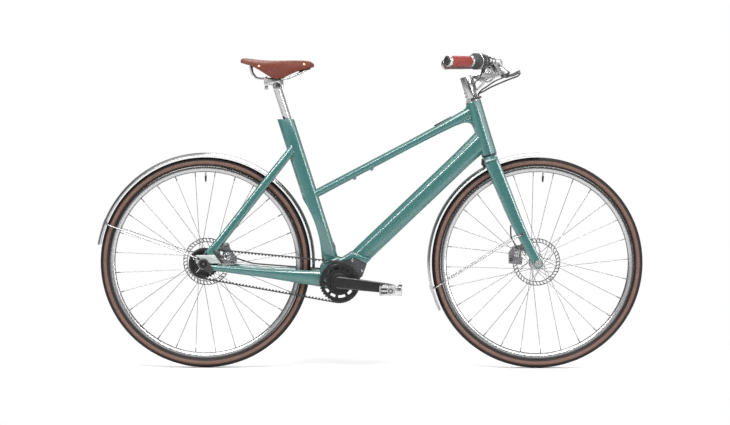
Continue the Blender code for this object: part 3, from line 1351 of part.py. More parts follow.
def make_steering(materials, front_wheel, fender_items, brake_items):
    """Everything that turns with the fork, on an empty at the foot of the steering axis."""
    items = [make_steerer(materials["paint"]), make_port(materials["black_plastic"]),
             make_stem(materials["polished"]), make_handlebar(materials["polished"]),
             make_grip("grip_left", 1, LEFT_GRIP_LENGTH, materials["grip"]),
             make_grip("grip_right", -1, RIGHT_GRIP_LENGTH, materials["grip"]),
             *make_shifter(materials)]
    for name, side in SIDES:
        items.append(make_fork_blade("fork_blade_" + name, side, materials["paint"]))
        items.append(make_lever_bracket("lever_bracket_" + name, side, materials["satin"]))
        items.append(make_lever("brake_lever_" + name, side, materials["polished"]).parent)
    items.append(make_cord("bar_hose_right", RIGHT_HOSE, HOSE_RADIUS, materials["rubber"]))
    items.append(make_cord("bar_hose_left", LEFT_HOSE, HOSE_RADIUS, materials["rubber"]))
    items.append(make_cord("shift_cable", SHIFT_CABLE, CABLE_RADIUS, materials["rubber"]))
    blade_outer = BLADE_STATIONS[4][2] + BLADE_STATIONS[4][3]
    items.append(make_axle("front_axle", FRONT_AXLE, blade_outer + GAP, materials["satin"]))
    make_pivot("steering_pivot", steer(HEAD_LOW), [*items, front_wheel, *fender_items, *brake_items])


def main():
    clear_scene()
    materials = make_materials()
    make_frame(materials)
    front_wheel = make_wheels(materials)
    make_drive(materials)
    make_seat(materials)
    make_steering(materials, front_wheel, make_fenders(materials), make_brakes(materials))


main()
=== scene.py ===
"""Looks for the step-through bicycle: every visible piece, in the order in which it is put together."""
import json
import math

import bmesh
import bpy
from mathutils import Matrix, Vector

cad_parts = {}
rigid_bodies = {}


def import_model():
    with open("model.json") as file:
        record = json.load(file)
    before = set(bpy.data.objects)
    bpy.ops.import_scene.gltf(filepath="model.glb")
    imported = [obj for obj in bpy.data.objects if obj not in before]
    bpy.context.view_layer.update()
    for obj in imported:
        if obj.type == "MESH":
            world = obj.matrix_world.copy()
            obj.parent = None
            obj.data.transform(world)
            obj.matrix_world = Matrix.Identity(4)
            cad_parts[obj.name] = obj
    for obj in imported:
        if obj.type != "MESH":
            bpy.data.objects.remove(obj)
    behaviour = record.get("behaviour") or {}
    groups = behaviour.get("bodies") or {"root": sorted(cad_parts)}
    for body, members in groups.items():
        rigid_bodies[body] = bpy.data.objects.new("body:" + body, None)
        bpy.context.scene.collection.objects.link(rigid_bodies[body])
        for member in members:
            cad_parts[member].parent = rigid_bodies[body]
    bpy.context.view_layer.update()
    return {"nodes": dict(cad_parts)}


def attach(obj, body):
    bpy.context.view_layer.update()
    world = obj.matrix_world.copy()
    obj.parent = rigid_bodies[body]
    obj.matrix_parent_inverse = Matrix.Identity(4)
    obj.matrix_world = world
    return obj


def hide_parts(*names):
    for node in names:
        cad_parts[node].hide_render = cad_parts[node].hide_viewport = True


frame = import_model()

cad = frame["nodes"]


# The studio: a pale floor under soft light from above, and a long lens that looks almost square to the
# bicycle's side from a little above its middle, slightly down and turned slightly towards the rear wheel.
X_AXIS = Vector((1.0, 0.0, 0.0))
Y_AXIS = Vector((0.0, 1.0, 0.0))
Z_AXIS = Vector((0.0, 0.0, 1.0))
FULL_TURN = 2 * math.pi


def deselect():
    if bpy.context.object and bpy.context.object.mode != "OBJECT":
        bpy.ops.object.mode_set(mode="OBJECT")
    bpy.ops.object.select_all(action="DESELECT")


def colour(red, green, blue):
    """A colour as read off a screen, 0 to 255, turned into the shader's linear values."""
    shares = [value / 255 for value in (red, green, blue)]
    return (*(s / 12.92 if s <= 0.04045 else ((s + 0.055) / 1.055) ** 2.4 for s in shares), 1.0)


class Value:
    """A shader socket in plain arithmetic: each operator adds the Math node that works it out."""

    def __init__(self, nodes, socket):
        self.nodes = nodes
        self.socket = socket

    def math(self, operation, *others):
        return self.nodes.add("ShaderNodeMath", {"operation": operation}, [self, *others])

    def __add__(self, other):
        return self.math("ADD", other)

    def __sub__(self, other):
        return self.math("SUBTRACT", other)

    def __rsub__(self, other):
        return self.math("MULTIPLY_ADD", -1.0, other)

    def __mul__(self, other):
        return self.math("MULTIPLY", other)

    def __gt__(self, other):
        return self.math("GREATER_THAN", other)

    def __lt__(self, other):
        return self.math("LESS_THAN", other)

    def rise(self, low, high):
        """0 below LOW, 1 above HIGH, and smooth between them."""
        return self.nodes.add("ShaderNodeMapRange", {"interpolation_type": "SMOOTHSTEP"},
                              {"Value": self, "From Min": low, "From Max": high})


class Nodes:
    """A node tree, with short ways to add nodes and to feed their sockets."""

    def __init__(self, tree):
        self.tree = tree

    def feed(self, socket, value):
        if isinstance(value, Value):
            self.tree.links.new(value.socket, socket)
        else:
            socket.default_value = value

    def add(self, kind, settings=(), inputs=(), output=0):
        """Any node: its settings first, then the values or links of its sockets."""
        made = self.tree.nodes.new(kind)
        for name, value in dict(settings).items():
            setattr(made, name, value)
        for key, value in inputs.items() if isinstance(inputs, dict) else enumerate(inputs):
            self.feed(made.inputs[key], value)
        return Value(self, made.outputs[output])

    def parts(self, vector):
        """The x, y and z of a vector."""
        split = self.add("ShaderNodeSeparateXYZ", inputs=[vector]).socket.node
        return [Value(self, out) for out in split.outputs]


class Finish(Nodes):
    """One surface finish, built as a material on the Principled shader, and the slot that it fills."""

    def __init__(self, name, slot, base, roughness, metallic=0.0, settings=()):
        self.material = bpy.data.materials.new(name)
        self.material.use_nodes = True
        super().__init__(self.material.node_tree)
        self.slot, self.base, self.roughness = slot, base, roughness
        self.paint(base, roughness)
        for socket, value in {"Metallic": metallic, **dict(settings)}.items():
            self.put(socket, value)

    def put(self, socket, value):
        self.feed(self.tree.nodes["Principled BSDF"].inputs[socket], value)

    def paint(self, base, roughness):
        self.put("Base Color", base)
        self.put("Roughness", roughness)

    def place(self):
        return self.add("ShaderNodeTexCoord", output="Object")

    def mix(self, share, first, second):
        return self.add("ShaderNodeMix", {"data_type": "RGBA"}, {0: share, 6: first, 7: second}, 2)

    def noise(self, scale, detail=3.0, stretch=(1, 1, 1), roughness=0.5):
        place = self.add("ShaderNodeVectorMath", {"operation": "MULTIPLY"}, [self.place(), stretch])
        return self.add("ShaderNodeTexNoise", inputs={"Vector": place, "Scale": scale, "Detail": detail,
                                                      "Roughness": roughness})

    def bump(self, height, distance, strength):
        self.put("Normal", self.add("ShaderNodeBump", inputs={"Height": height, "Distance": distance,
                                                              "Strength": strength}))

    def vary(self, share, scale, spread):
        """Lighter and darker patches of the colour, and a roughness that goes with them."""
        patch = self.noise(scale, 4.0)
        darker, lighter = ((*(min(channel * level, 1.0) for channel in self.base[:3]), 1.0)
                           for level in (1 - share, 1 + share))
        self.paint(self.mix(patch, darker, lighter), patch * spread + (self.roughness - spread / 2))
        return self

    def grain(self, scale, detail, distance, strength, stretch=(1, 1, 1), roughness=0.5):
        """A fine bump, drawn out where the marks run one way."""
        self.bump(self.noise(scale, detail, stretch, roughness), distance, strength)
        return self


EYE = (0.1170, -8.2624, 0.8414)
LOOK_DOWN = 0.0400
LOOK_BACK = 0.0160
LENS = 124.12
deselect()
bpy.ops.object.camera_add(location=EYE, rotation=(math.pi / 2 - LOOK_DOWN, 0, LOOK_BACK))
camera = bpy.context.object
camera.name = "camera"
camera.data.sensor_width = 36.0
camera.data.lens = LENS
camera.data.clip_end = 100.0
bpy.context.scene.camera = camera
bpy.context.scene.view_settings.view_transform = "Standard"

# The floor fades into the white of the background away from the bicycle
deselect()
bpy.ops.mesh.primitive_plane_add(size=60.0, location=(0, 0, -0.0005))
floor = bpy.context.object
floor.name = "floor"
pale = Finish("pale_floor", "", (0.93, 0.93, 0.93, 1.0), 0.9)
floor_x, floor_y, _ = pale.parts(pale.place())
far_off = (floor_x * floor_x + floor_y * floor_y * 2.0).rise(0.9, 2.6)
seen = pale.add("ShaderNodeLightPath", output="Is Camera Ray")
glow = pale.add("ShaderNodeEmission", inputs={"Color": (1, 1, 1, 1), "Strength": 1.0})
lit = Value(pale, pale.tree.nodes["Principled BSDF"].outputs[0])
blended = pale.add("ShaderNodeMixShader", inputs=[far_off * seen, lit, glow])
pale.feed(pale.tree.nodes["Material Output"].inputs["Surface"], blended)
floor.data.materials.append(pale.material)

# What shines back from metal and lacquer: a bright ceiling, a grey band below it, a paler room with a dark
# gap where the camera stands, a white wall ahead of the bicycle and a dark one behind it
world = bpy.data.worlds.new("studio_world")
bpy.context.scene.world = world
world.use_nodes = True
sky = Nodes(world.node_tree)
sky_light = sky.tree.nodes["Background"]
sky_light.inputs["Color"].default_value = (1.0, 1.0, 1.0, 1.0)
east, _, up = sky.parts(sky.add("ShaderNodeTexCoord", output="Generated"))
room = sky.add("ShaderNodeValToRGB", inputs=[up])
stops = room.socket.node.color_ramp.elements
stops[0].color = (0.86, 0.86, 0.86, 1.0)
for position, level in ((0.10, 0.80), (0.30, 0.34), (0.52, 0.30), (0.66, 0.82)):
    stops.new(position).color = (level, level, level, 1.0)
walls = (room * (east.rise(-0.80, -0.40) * 0.64 + 0.36)).math("MAXIMUM", east.rise(0.40, 0.75) * 0.75)
gap = ((east - 0.19).math("ABSOLUTE").rise(0.28, 0.37) * 0.90 + 0.10).math("MAXIMUM", up.rise(0.42, 0.56))
SKY_LEVEL = 0.42
glossy_ray, camera_ray = (sky.add("ShaderNodeLightPath", output=kind) for kind in ("Is Glossy Ray", "Is Camera Ray"))
glossy = sky.add("ShaderNodeMix", inputs={0: glossy_ray, 2: SKY_LEVEL, 3: walls * gap})
sky.feed(sky_light.inputs["Strength"], sky.add("ShaderNodeMix", inputs={0: camera_ray, 2: glossy, 3: 1.0}))

# Each lamp: name, place, width, height, power; the strips draw the bright lines along the creases, and the
# two crease lamps are only seen as shine
for name, place, width, height, power in (("key_lamp", (-1.2, -2.0, 4.6), 2.6, 2.6, 190),
                                          ("strip_lamp", (-0.6, -4.1, 3.3), 5.0, 0.16, 62),
                                          ("tall_lamp", (4.4, -3.5, 1.2), 0.16, 4.0, 44),
                                          ("crease_lamp_long", (-0.4, -4.1, 3.3), 6.0, 0.34, 150),
                                          ("crease_lamp_tall", (4.4, -3.5, 1.6), 0.30, 4.0, 64),
                                          ("fill_lamp", (3.2, -1.6, 2.0), 2.4, 2.4, 40),
                                          ("back_lamp", (0.6, 3.0, 4.2), 2.8, 2.8, 120)):
    deselect()
    bpy.ops.object.light_add(type="AREA", location=place)
    lamp = bpy.context.object
    lamp.name = name
    lamp.data.shape = "RECTANGLE"
    lamp.data.size = width
    lamp.data.size_y = height
    lamp.data.energy = power
    lamp.visible_diffuse = "crease" not in name
    lamp.rotation_euler = (Vector((0, 0, 0.5)) - Vector(place)).to_track_quat("-Z", "Y").to_euler()


# Brake hoses and the shift cable: smooth black plastic sleeves, 5 mm round on the brakes, 4 mm on the gears.
# Three loop from the bar into the port on the head tube, one leaves the fork's blade, and one follows
# the left chainstay; each is one fixed length that goes back into the bicycle at its far end.
HOSE_RADIUS = 0.0025
CABLE_RADIUS = 0.0020
sleeve = Finish("hose_sleeve", "black_rubber", colour(30, 30, 31), 0.42).vary(0.18, 60, 0.10)
sleeve.grain(900, 2, 0.0002, 0.4)


def mm(x, y, z):
    """A point or an offset given in millimetres."""
    return Vector((x, y, z)) / 1000


def smooth_route(points, spacing):
    """Points about a spacing apart on a smooth curve through the given points."""
    ends = [2 * points[0] - points[1], *points, 2 * points[-1] - points[-2]]
    route = [points[0]]
    for a, b, c, d in zip(ends, ends[1:], ends[2:], ends[3:]):
        steps = max(1, round((c - b).length / spacing))
        for i in range(1, steps + 1):
            t = i / steps
            bend = (2 * a - 5 * b + 4 * c - d) * t * t + (3 * b - a - 3 * c + d) * t ** 3
            route.append(b + 0.5 * ((c - a) * t + bend))
    return route


def sleeve_along(name, route, radius, resolution=4):
    """A round tube that follows a route, drawn as a curve with a bevel."""
    deselect()
    bpy.ops.curve.primitive_nurbs_path_add(location=(0, 0, 0))
    curve = bpy.context.object
    curve.name = name
    curve.data.splines.clear()
    line = curve.data.splines.new("POLY")
    line.points.add(len(route) - 1)
    for point, corner in zip(route, line.points):
        corner.co = (*point, 1.0)
    line.use_smooth = True
    curve.data.dimensions = "3D"
    curve.data.bevel_depth = radius
    curve.data.bevel_resolution = resolution
    curve.data.use_fill_caps = True
    return curve


for node, radius, body, points in (
        ("bar_hose_right", HOSE_RADIUS, "steering_body", (
            (447.8, -167.9, 959.6), (451.8, -166.7, 956.1), (464, -157.5, 957.5), (478, -143, 964),
            (487.5, -122, 966.2), (480, -96, 956.5), (458, -75, 948), (426.3, -52, 935.2), (394.4, -32, 920.6),
            (375.1, -18, 909.3), (363, -10, 903.5), (355.8, -7, 897.7), (357.6, -7, 892.4))),
        ("bar_hose_left", HOSE_RADIUS, "steering_body", (
            (447.8, 167.9, 959.6), (451.8, 166.7, 956.1), (465, 159, 960), (485, 140, 972), (496.5, 118, 977),
            (483, 93, 970), (454.5, 75, 959.8), (413.6, 50, 942.9), (383.2, 30, 922.9), (369.6, 18, 914.4),
            (361, 10, 906), (355.8, 7, 897.7), (357.6, 7, 892.4))),
        ("shift_cable", CABLE_RADIUS, "steering_body", (
            (359.2, -190.9, 956.3), (357.3, -189.6, 951.6), (353.1, -165, 944), (344.6, -125, 939.4),
            (341.7, -85, 928.4), (339.9, -50, 912.4), (340, -33, 902), (344, -22, 894.5), (345.9, -21.5, 889.2))),
        ("front_brake_hose", HOSE_RADIUS, "steering_body", (
            (465.3, 51.2, 466), (465.5, 51.2, 452), (466, 50, 435), (470, 47, 420), (477, 45, 409),
            (480, 44.5, 399))),
        ("rear_brake_hose", HOSE_RADIUS, "frame", (
            (-439.5, 55.5, 356), (-420, 59.5, 349), (-400, 61.5, 343), (-380, 59.8, 338.7), (-330, 51.9, 335),
            (-270, 46.2, 331), (-210, 40.5, 327), (-175, 39, 324.8), (-162.4, 38.8, 324)))):
    route = smooth_route([mm(*point) for point in points], 0.004)
    cord_length = sum((b - a).length for a, b in zip(route, route[1:]))
    cord = sleeve_along(node + "_sleeve", route, radius)
    cord.data.materials.append(sleeve.material)
    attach(cord, body)
    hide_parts(node)
    2 * radius


# Frame: hydroformed aluminium tubes under satin teal lacquer, welded and filed smooth at the joints.
# Each tube is a folded section with soft creases, drawn at a few places along it and bridged.
FRONT_AXLE = Vector((0.550025, 0, 0.346))
REAR_AXLE = Vector((-0.539975, 0, 0.346))
BRACKET = REAR_AXLE + mm(441.5, 0, -61)
HEAD_ANGLE = math.radians(73.0)
UP = Vector((-math.cos(HEAD_ANGLE), 0, math.sin(HEAD_ANGLE)))
AHEAD = Vector((math.sin(HEAD_ANGLE), 0, math.cos(HEAD_ANGLE)))
FORK_RAKE = 0.047
FORK_LENGTH = 0.382
HEAD_LOW = 0.3861
HEAD_HIGH = HEAD_LOW + 0.181
HEAD_TUBE_RADIUS = 0.026
SEAT_ANGLE = math.radians(72.3)
SEAT_UP = Vector((-math.cos(SEAT_ANGLE), 0, math.sin(SEAT_ANGLE)))
SEAT_AHEAD = Vector((math.sin(SEAT_ANGLE), 0, math.cos(SEAT_ANGLE)))
SEAT_TOP = BRACKET + mm(-172, 0, 534)
GAP = 0.0003
lacquer = Finish("teal_lacquer", "teal_paint", colour(48, 100, 97), 0.27, 0.0,
                 {"Coat Weight": 0.80, "Coat Roughness": 0.10, "Coat IOR": 1.62})
lacquer.vary(0.05, 14, 0.04).grain(120, 2, 0.00002, 0.1)


def steer(along, ahead=0.0, side=0.0):
    """A point in the fork's own lines: up the steering axis, ahead of it and to the left."""
    return FRONT_AXLE + UP * along + AHEAD * (ahead - FORK_RAKE) + Y_AXIS * side


def activate(piece, mode="OBJECT"):
    """Make a piece the only one that is selected and worked on."""
    deselect()
    piece.select_set(True)
    bpy.context.view_layer.objects.active = piece
    bpy.ops.object.mode_set(mode=mode)


def start_piece(name):
    """An empty mesh at the origin, open in edit mode, ready for its first primitive."""
    deselect()
    bpy.ops.mesh.primitive_plane_add(size=0.01, location=(0, 0, 0))
    piece = bpy.context.object
    piece.name = name
    bpy.ops.object.mode_set(mode="EDIT")
    pick_all()
    bpy.ops.mesh.delete(type="VERT")
    return piece


def pick_all(kind="VERT"):
    bpy.ops.mesh.select_mode(type=kind)
    bpy.ops.mesh.select_all(action="SELECT")


def weld(distance):
    pick_all()
    bpy.ops.mesh.remove_doubles(threshold=distance)


def pull(way):
    """Draw what is selected out into a new edge or a solid."""
    bpy.ops.mesh.extrude_region_move(TRANSFORM_OT_translate={"value": way})


def close_piece(piece):
    """Turn every face outward and leave edit mode."""
    pick_all()
    bpy.ops.mesh.normals_make_consistent(inside=False)
    bpy.ops.object.mode_set(mode="OBJECT")
    return piece


def draw_line(points):
    """Draw connected edges, corner by corner, and leave them selected."""
    bpy.ops.mesh.select_all(action="DESELECT")
    bpy.ops.mesh.primitive_plane_add(size=0.0001, location=points[0])
    bpy.ops.mesh.merge(type="CENTER")
    for here, there in zip(points, points[1:]):
        pull(there - here)
    bpy.ops.mesh.select_linked()


def bridge_loops(piece):
    """Bridge the drawn outlines one after the other and close both ends."""
    pick_all("EDGE")
    bpy.ops.mesh.bridge_edge_loops()
    bpy.ops.mesh.select_all(action="DESELECT")
    bpy.ops.mesh.select_non_manifold(extend=False)
    bpy.ops.mesh.edge_face_add()
    return close_piece(piece)


def loft(name, sections, corner, steps):
    """Draw closed outlines, round their corners and bridge them."""
    piece = start_piece(name)
    for points in sections:
        draw_line(points)
        bpy.ops.mesh.edge_face_add()
        bpy.ops.mesh.bevel(offset=corner / 1000, offset_type="OFFSET", segments=steps, affect="VERTICES",
                           clamp_overlap=True)
        bpy.ops.mesh.delete(type="ONLY_FACE")
    return bridge_loops(piece)


def tube_sections(stations, shape):
    """Outlines square to a path; a station is a point, and a half width and half depth in millimetres."""
    centres = [station[0] for station in stations]
    sections = []
    for i, (centre, half_width, half_depth) in enumerate(stations):
        along = (centres[min(i + 1, len(centres) - 1)] - centres[max(i - 1, 0)]).normalized()
        across = (Y_AXIS - along * along.y).normalized()
        above = across.cross(along)
        above = above if above.z > 0 else -above
        sections.append([centre + (across * half_width * a + above * half_depth * b) / 1000 for b, a in shape])
    return sections


def tube(name, low, high, rows, corner, steps, side=0):
    """A tube between two points; a row is a share of the way, a sideways offset, a half width and half depth."""
    stations = [(low.lerp(high, share) + Y_AXIS * side * offset / 1000, half_width, half_depth)
                for share, offset, half_width, half_depth in rows]
    return loft(name, tube_sections(stations, SHOULDERED), corner, steps)


def finish_piece(piece, body, finish, node=None, angle=35):
    """Smooth the shading, give the piece its finish, and hang it on its body."""
    activate(piece)
    bpy.ops.object.transform_apply(location=True, rotation=True, scale=True)
    bpy.ops.object.shade_smooth_by_angle(angle=math.radians(angle))
    piece.data.materials.clear()
    piece.data.materials.append(finish.material)
    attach(piece, body)
    if node:
        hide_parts(node)


def apply_modifier(piece, kind, **settings):
    activate(piece)
    modifier = piece.modifiers.new(kind.title(), kind)
    for name, value in settings.items():
        setattr(modifier, name, value)
    bpy.ops.object.modifier_apply(modifier=modifier.name)


def round_edges(piece, width, steps=2, angle=40):
    apply_modifier(piece, "BEVEL", width=width / 1000, segments=steps, limit_method="ANGLE",
                   angle_limit=math.radians(angle))
    return piece


def cut_away(piece, cutter, operation="DIFFERENCE"):
    apply_modifier(piece, "BOOLEAN", object=cutter, operation=operation, solver="EXACT")
    bpy.data.objects.remove(cutter)


def cylinder(start, end, radius, vertices=64):
    """A round bar between two points; its radius is in millimetres."""
    deselect()
    turn = (end - start).to_track_quat("Z", "Y").to_euler()
    bpy.ops.mesh.primitive_cylinder_add(vertices=vertices, radius=radius / 1000, depth=(end - start).length,
                                        location=(start + end) / 2, rotation=turn)
    bpy.ops.object.transform_apply(location=True, rotation=True, scale=True)
    return bpy.context.object


def rod(centre, low, high, radius, vertices, axis=Y_AXIS):
    """A round bar along an axis, from low to high of its centre, in millimetres."""
    return cylinder(centre + axis * low / 1000, centre + axis * high / 1000, radius, vertices)


def plate(name, outline, low, high, origin, across=X_AXIS, above=Z_AXIS, edge=0.0, steps=2, inset=0.0):
    """Draw an outline, pull it to its thickness and round its edges, all in millimetres."""
    normal = above.cross(across)
    piece = start_piece(name)
    draw_line([origin + (across * a + above * b + normal * low) / 1000 for a, b in outline])
    bpy.ops.mesh.edge_face_add()
    if inset:
        bpy.ops.mesh.inset(thickness=inset / 1000, depth=0)
        bpy.ops.mesh.select_all(action="INVERT")
        bpy.ops.mesh.delete(type="FACE")
        pick_all()
    pull(normal * (high - low) / 1000)
    close_piece(piece)
    return round_edges(piece, edge, steps) if edge else piece


def slice_off(piece, point, normal):
    """Cut a piece with a plane and drop what lies on the normal's side."""
    activate(piece, "EDIT")
    bpy.ops.mesh.select_all(action="SELECT")
    bpy.ops.mesh.bisect(plane_co=point, plane_no=normal, use_fill=True, clear_outer=True)
    bpy.ops.object.mode_set(mode="OBJECT")


def arc(centre, radius, start, end, steps):
    """Points on an arc between two angles in degrees."""
    angles = [math.radians(start + (end - start) * i / steps) for i in range(steps + 1)]
    return [(centre[0] + radius * math.cos(a), centre[1] + radius * math.sin(a)) for a in angles]


def box(left, right, low, high):
    """The outline of a rectangle."""
    return [(left, low), (right, low), (right, high), (left, high)]


def mirrored(half):
    """An outline given on its left side, and its mirror image."""
    return [*half, *[(a, -b) for a, b in reversed(half) if b]]


# A tube's section, as shares of its half depth and half width
SHOULDERED = mirrored([(1.0, 0.50), (0.42, 1.0), (-0.55, 1.0), (-1.0, 0.60)])

# Head tube: flat cheeks that fold to a blunt nose, with a machined ring at each end
HEAD_SHAPE = mirrored([(-0.98, 0.38), (-0.66, 0.90), (0.20, 0.95), (0.98, 0.36)])
head_sections = [[steer(along, a * HEAD_TUBE_RADIUS * scale, b * HEAD_TUBE_RADIUS * scale) for a, b in HEAD_SHAPE]
                 for along, scale in ((HEAD_LOW, 1.0), (HEAD_LOW + 0.09, 0.97), (HEAD_HIGH - 0.002, 1.0),
                                      (HEAD_HIGH, 0.97))]
head_tube = loft("head_tube_shell", head_sections, 6, 4)
cut_away(head_tube, cylinder(steer(HEAD_LOW - 0.02), steer(HEAD_HIGH + 0.02), 19.5))
finish_piece(head_tube, "frame", lacquer, "head_tube")

# Top tube, dropped low towards the seat tube, with its two bottle bosses below
BOSS_PLACES = (0.155, 0.219)
top_low = SEAT_TOP - SEAT_UP * 0.267 - SEAT_AHEAD * 0.004
top_high = steer(HEAD_HIGH - 0.0277)
top_tube = tube("top_tube_shell", top_low, top_high,
                ((0, 0, 18, 13.4), (0.60, 0, 18, 13), (0.76, 0, 18.2, 14.2), (0.86, 0, 18.4, 16.2),
                 (0.93, 0, 18.5, 17.8), (1, 0, 18.5, 19.5)), 1.8, 2)
top_along = (top_high - top_low).normalized()
top_above = top_along.cross(Y_AXIS)
for distance in BOSS_PLACES:
    boss = rod(top_low + top_along * distance, 6, 16.5, 6.5, 40, -top_above)
    cut_away(top_tube, round_edges(boss, 0.8), "UNION")
finish_piece(top_tube, "frame", lacquer, "top_tube")

# The hollow fillets that lead the top tube into the head tube, a long one below and a short one above
FILLET_DEPTH = 0.0180
for above, back, rise in ((-1, 0.048, 0.032), (1, 0.022, 0.010)):
    edge_side = top_above * above
    reach = (0.0252 + FILLET_DEPTH * above * top_above.dot(AHEAD)) / top_along.dot(AHEAD)
    corner = top_high - top_along * reach + edge_side * FILLET_DEPTH
    first, last = corner - top_along * back, corner + UP * above * rise
    curve = [first.lerp(corner, i / 10).lerp(corner.lerp(last, i / 10), i / 10) for i in range(11)]
    section = [first - edge_side * 0.004, *curve, last + AHEAD * 0.006, corner + AHEAD * 0.006 - edge_side * 0.004]
    fillet = plate("head_fillet", [(point.x * 1000, point.z * 1000) for point in section], -14.5, 14.5, Vector())
    finish_piece(round_edges(fillet, 3.5, 3, 50), "frame", lacquer)

# Down tube: the deepest tube, with a long bright crease along its shoulder
down_tube = tube("down_tube_shell", BRACKET + mm(72.4, 0, 86.65), steer(HEAD_LOW + 0.056),
                 ((-0.03, 0, 22.5, 30.5), (0.8, 0, 22.5, 30.5), (0.93, 0, 22.5, 32.5), (1, 0, 22.5, 34)), 5, 4)
finish_piece(down_tube, "frame", lacquer, "down_tube")

# Seat tube: cut away behind to clear the rear wheel, and open at the top for the seatpost
SEAT_SHAPE = mirrored([(0.92, 0.55), (0.60, 1.0), (-0.60, 1.0), (-0.92, 0.55)])
WHEEL_ROOM = 383
seat_mouth = SEAT_TOP - SEAT_AHEAD * 0.0058
seat_sections = [[seat_mouth + SEAT_UP * along + SEAT_AHEAD * a * 0.0283 + Y_AXIS * b * 0.020 for a, b in SEAT_SHAPE]
                 for along in (-0.540, -0.30, -0.10, 0.014)]
seat_tube = loft("seat_tube_shell", seat_sections, 6, 4)
foot_edge, brow_edge = BRACKET + mm(-63.5, 0, 57), BRACKET + mm(-6, 0, 81.5)
slope = (brow_edge - foot_edge).cross(Y_AXIS).normalized()
slice_off(seat_tube, foot_edge - slope * 0.012, -slope)
slice_off(seat_tube, seat_mouth, Z_AXIS)
cut_away(seat_tube, rod(REAR_AXLE, -60, 60, WHEEL_ROOM, 192))
cut_away(seat_tube, rod(SEAT_TOP, -50, 20, 13.8, 48, SEAT_UP))
finish_piece(round_edges(seat_tube, 1.2, 2, 50), "frame", lacquer, "seat_tube")

# Gearbox bridge: a hollow casting that joins three tubes and carries the gearbox below it
GEARBOX_OUTLINE = [*arc((0, 0), 41, 165, 300, 27), (57, 3), (76, 19), (90, 59), (52, 80), (18, 71), (-27, 53)]
BRIDGE_OUTLINE = [(-63.5, -10), (-50, -23), (-22, -23), (38, 15), (88.9, 60.7), (105.3, 75.1), (39.5, 98.2),
                  (22, 86.2), (3.3, 75.1), (-6, 81.5), (-63.5, 57)]
bridge = plate("gearbox_bridge_shell", BRIDGE_OUTLINE, -47.5, 47.5, BRACKET, edge=11.5, steps=3)
cut_away(bridge, plate("gearbox_room", GEARBOX_OUTLINE, -200, 200, BRACKET))
finish_piece(bridge, "frame", lacquer, "gearbox_bridge")

# Chainstays and seatstays: flat-sided ovals that lean out from the seat tube to the dropouts
CHAINSTAY_ROWS = ((0, 78.5, 7, 9), (0.20, 72, 9, 11.5), (0.54, 52, 9, 15.8), (0.90, 39.5, 9, 24),
                  (1.02, 38.3, 9, 26.2))
SEATSTAY_ROWS = ((0, 77, 6.5, 17.2), (0.10, 73.5, 6.8, 13), (0.30, 61.2, 7, 13), (0.47, 51, 7, 13.2),
                 (0.74, 38.5, 7, 13.4), (0.90, 26.2, 7, 13), (1.05, 15, 6.6, 11.8))
AXLE_BORE = 6.3


def smooth_rows(rows, steps):
    """More rows between the given ones, on a smooth curve through them."""
    result = []
    for i in range(len(rows) - 1):
        before, here = rows[max(i - 1, 0)], rows[i]
        there, after = rows[i + 1], rows[min(i + 2, len(rows) - 1)]
        for t in (k / steps for k in range(steps)):
            result.append([b + 0.5 * t * (c - a + t * (2 * a - 5 * b + 4 * c - d + t * (3 * (b - c) + d - a)))
                           for a, b, c, d in zip(before, here, there, after)])
    return [*result, rows[-1]]


DROPOUT_OUTLINE = [(-25, 28.9), (-25, 1.6), *arc((0, 0), 19, 175.2, 364.8, 24), (58.7, 1.6), (38.2, 28.9)]
chain_rear, chain_front = REAR_AXLE + mm(9.5, 0, -10.4), BRACKET + mm(-63.8, 0, 10.3)
seat_stay_foot = REAR_AXLE + mm(16.8, 0, 29.2)
seat_stay_top = SEAT_TOP - SEAT_UP * 0.096 - SEAT_AHEAD * 0.008
for name, side in (("left", 1), ("right", -1)):
    chainstay = tube("chainstay_tube_" + name, chain_rear, chain_front, smooth_rows(CHAINSTAY_ROWS, 4), 2.8, 3, side)
    slice_off(chainstay, chain_front + X_AXIS * 0.006, X_AXIS)
    if side < 0:
        cut_away(chainstay, rod(REAR_AXLE, -100, 100, 19.3, 96))
    finish_piece(chainstay, "frame", lacquer, "chainstay_" + name)
    seatstay = tube("seatstay_tube_" + name, seat_stay_foot, seat_stay_top, smooth_rows(SEATSTAY_ROWS, 4), 2.8, 3, side)
    slice_off(seatstay, seat_stay_foot, -Z_AXIS)
    slice_off(seatstay, seat_mouth - SEAT_AHEAD * 0.006, SEAT_AHEAD)
    finish_piece(round_edges(seatstay, 2.8, 3, 55), "frame", lacquer, "seatstay_" + name)
dropout_left = plate("dropout_left_plate", DROPOUT_OUTLINE, 71.3, 83.3, REAR_AXLE, edge=1.5)
cut_away(dropout_left, rod(REAR_AXLE, 0, 200, AXLE_BORE, 32))
finish_piece(dropout_left, "frame", lacquer)


# Wheels: 28 crossed spokes in a polished box rim, with a brown-walled city tyre and a drilled brake rotor.
# The tyre is a moulded ring whose brown casing shows between the rim and a black tread.
TYRE_HALF = [(346, 0), (345.9, 2), (345.2, 2.2), (345.2, 3), (345.6, 3.2), (344.8, 6.2), (344, 6.4), (344, 7.2),
             (344.3, 7.4), (342.7, 10.4), (340.8, 13.2), (338.4, 15.5), (335.2, 17.2), (331.8, 18), (328.4, 17.6),
             (325, 16), (321.8, 13.6), (319.6, 11.8), (317.8, 10.8), (317.6, 9.4)]
RIM_HALF = [(316, 9.4), (316.7, 10), (316.7, 11.6), (316, 12), (308.5, 12), (306.6, 11.7), (301, 9.4), (298.8, 7.9),
            (297.8, 5.5), (297.5, 0)]
FLANGE = [(21.5, 32.2), (23.2, 31.8), (23.5, 30), (23.2, 28.2), (19, 27.5), (15, 25), (14, 21)]
SPOKE_COUNT = 28
SPOKE_RADIUS = 0.0010
NIPPLE_RADIUS = 0.0019
SPOKE_LEAN = math.radians(70)
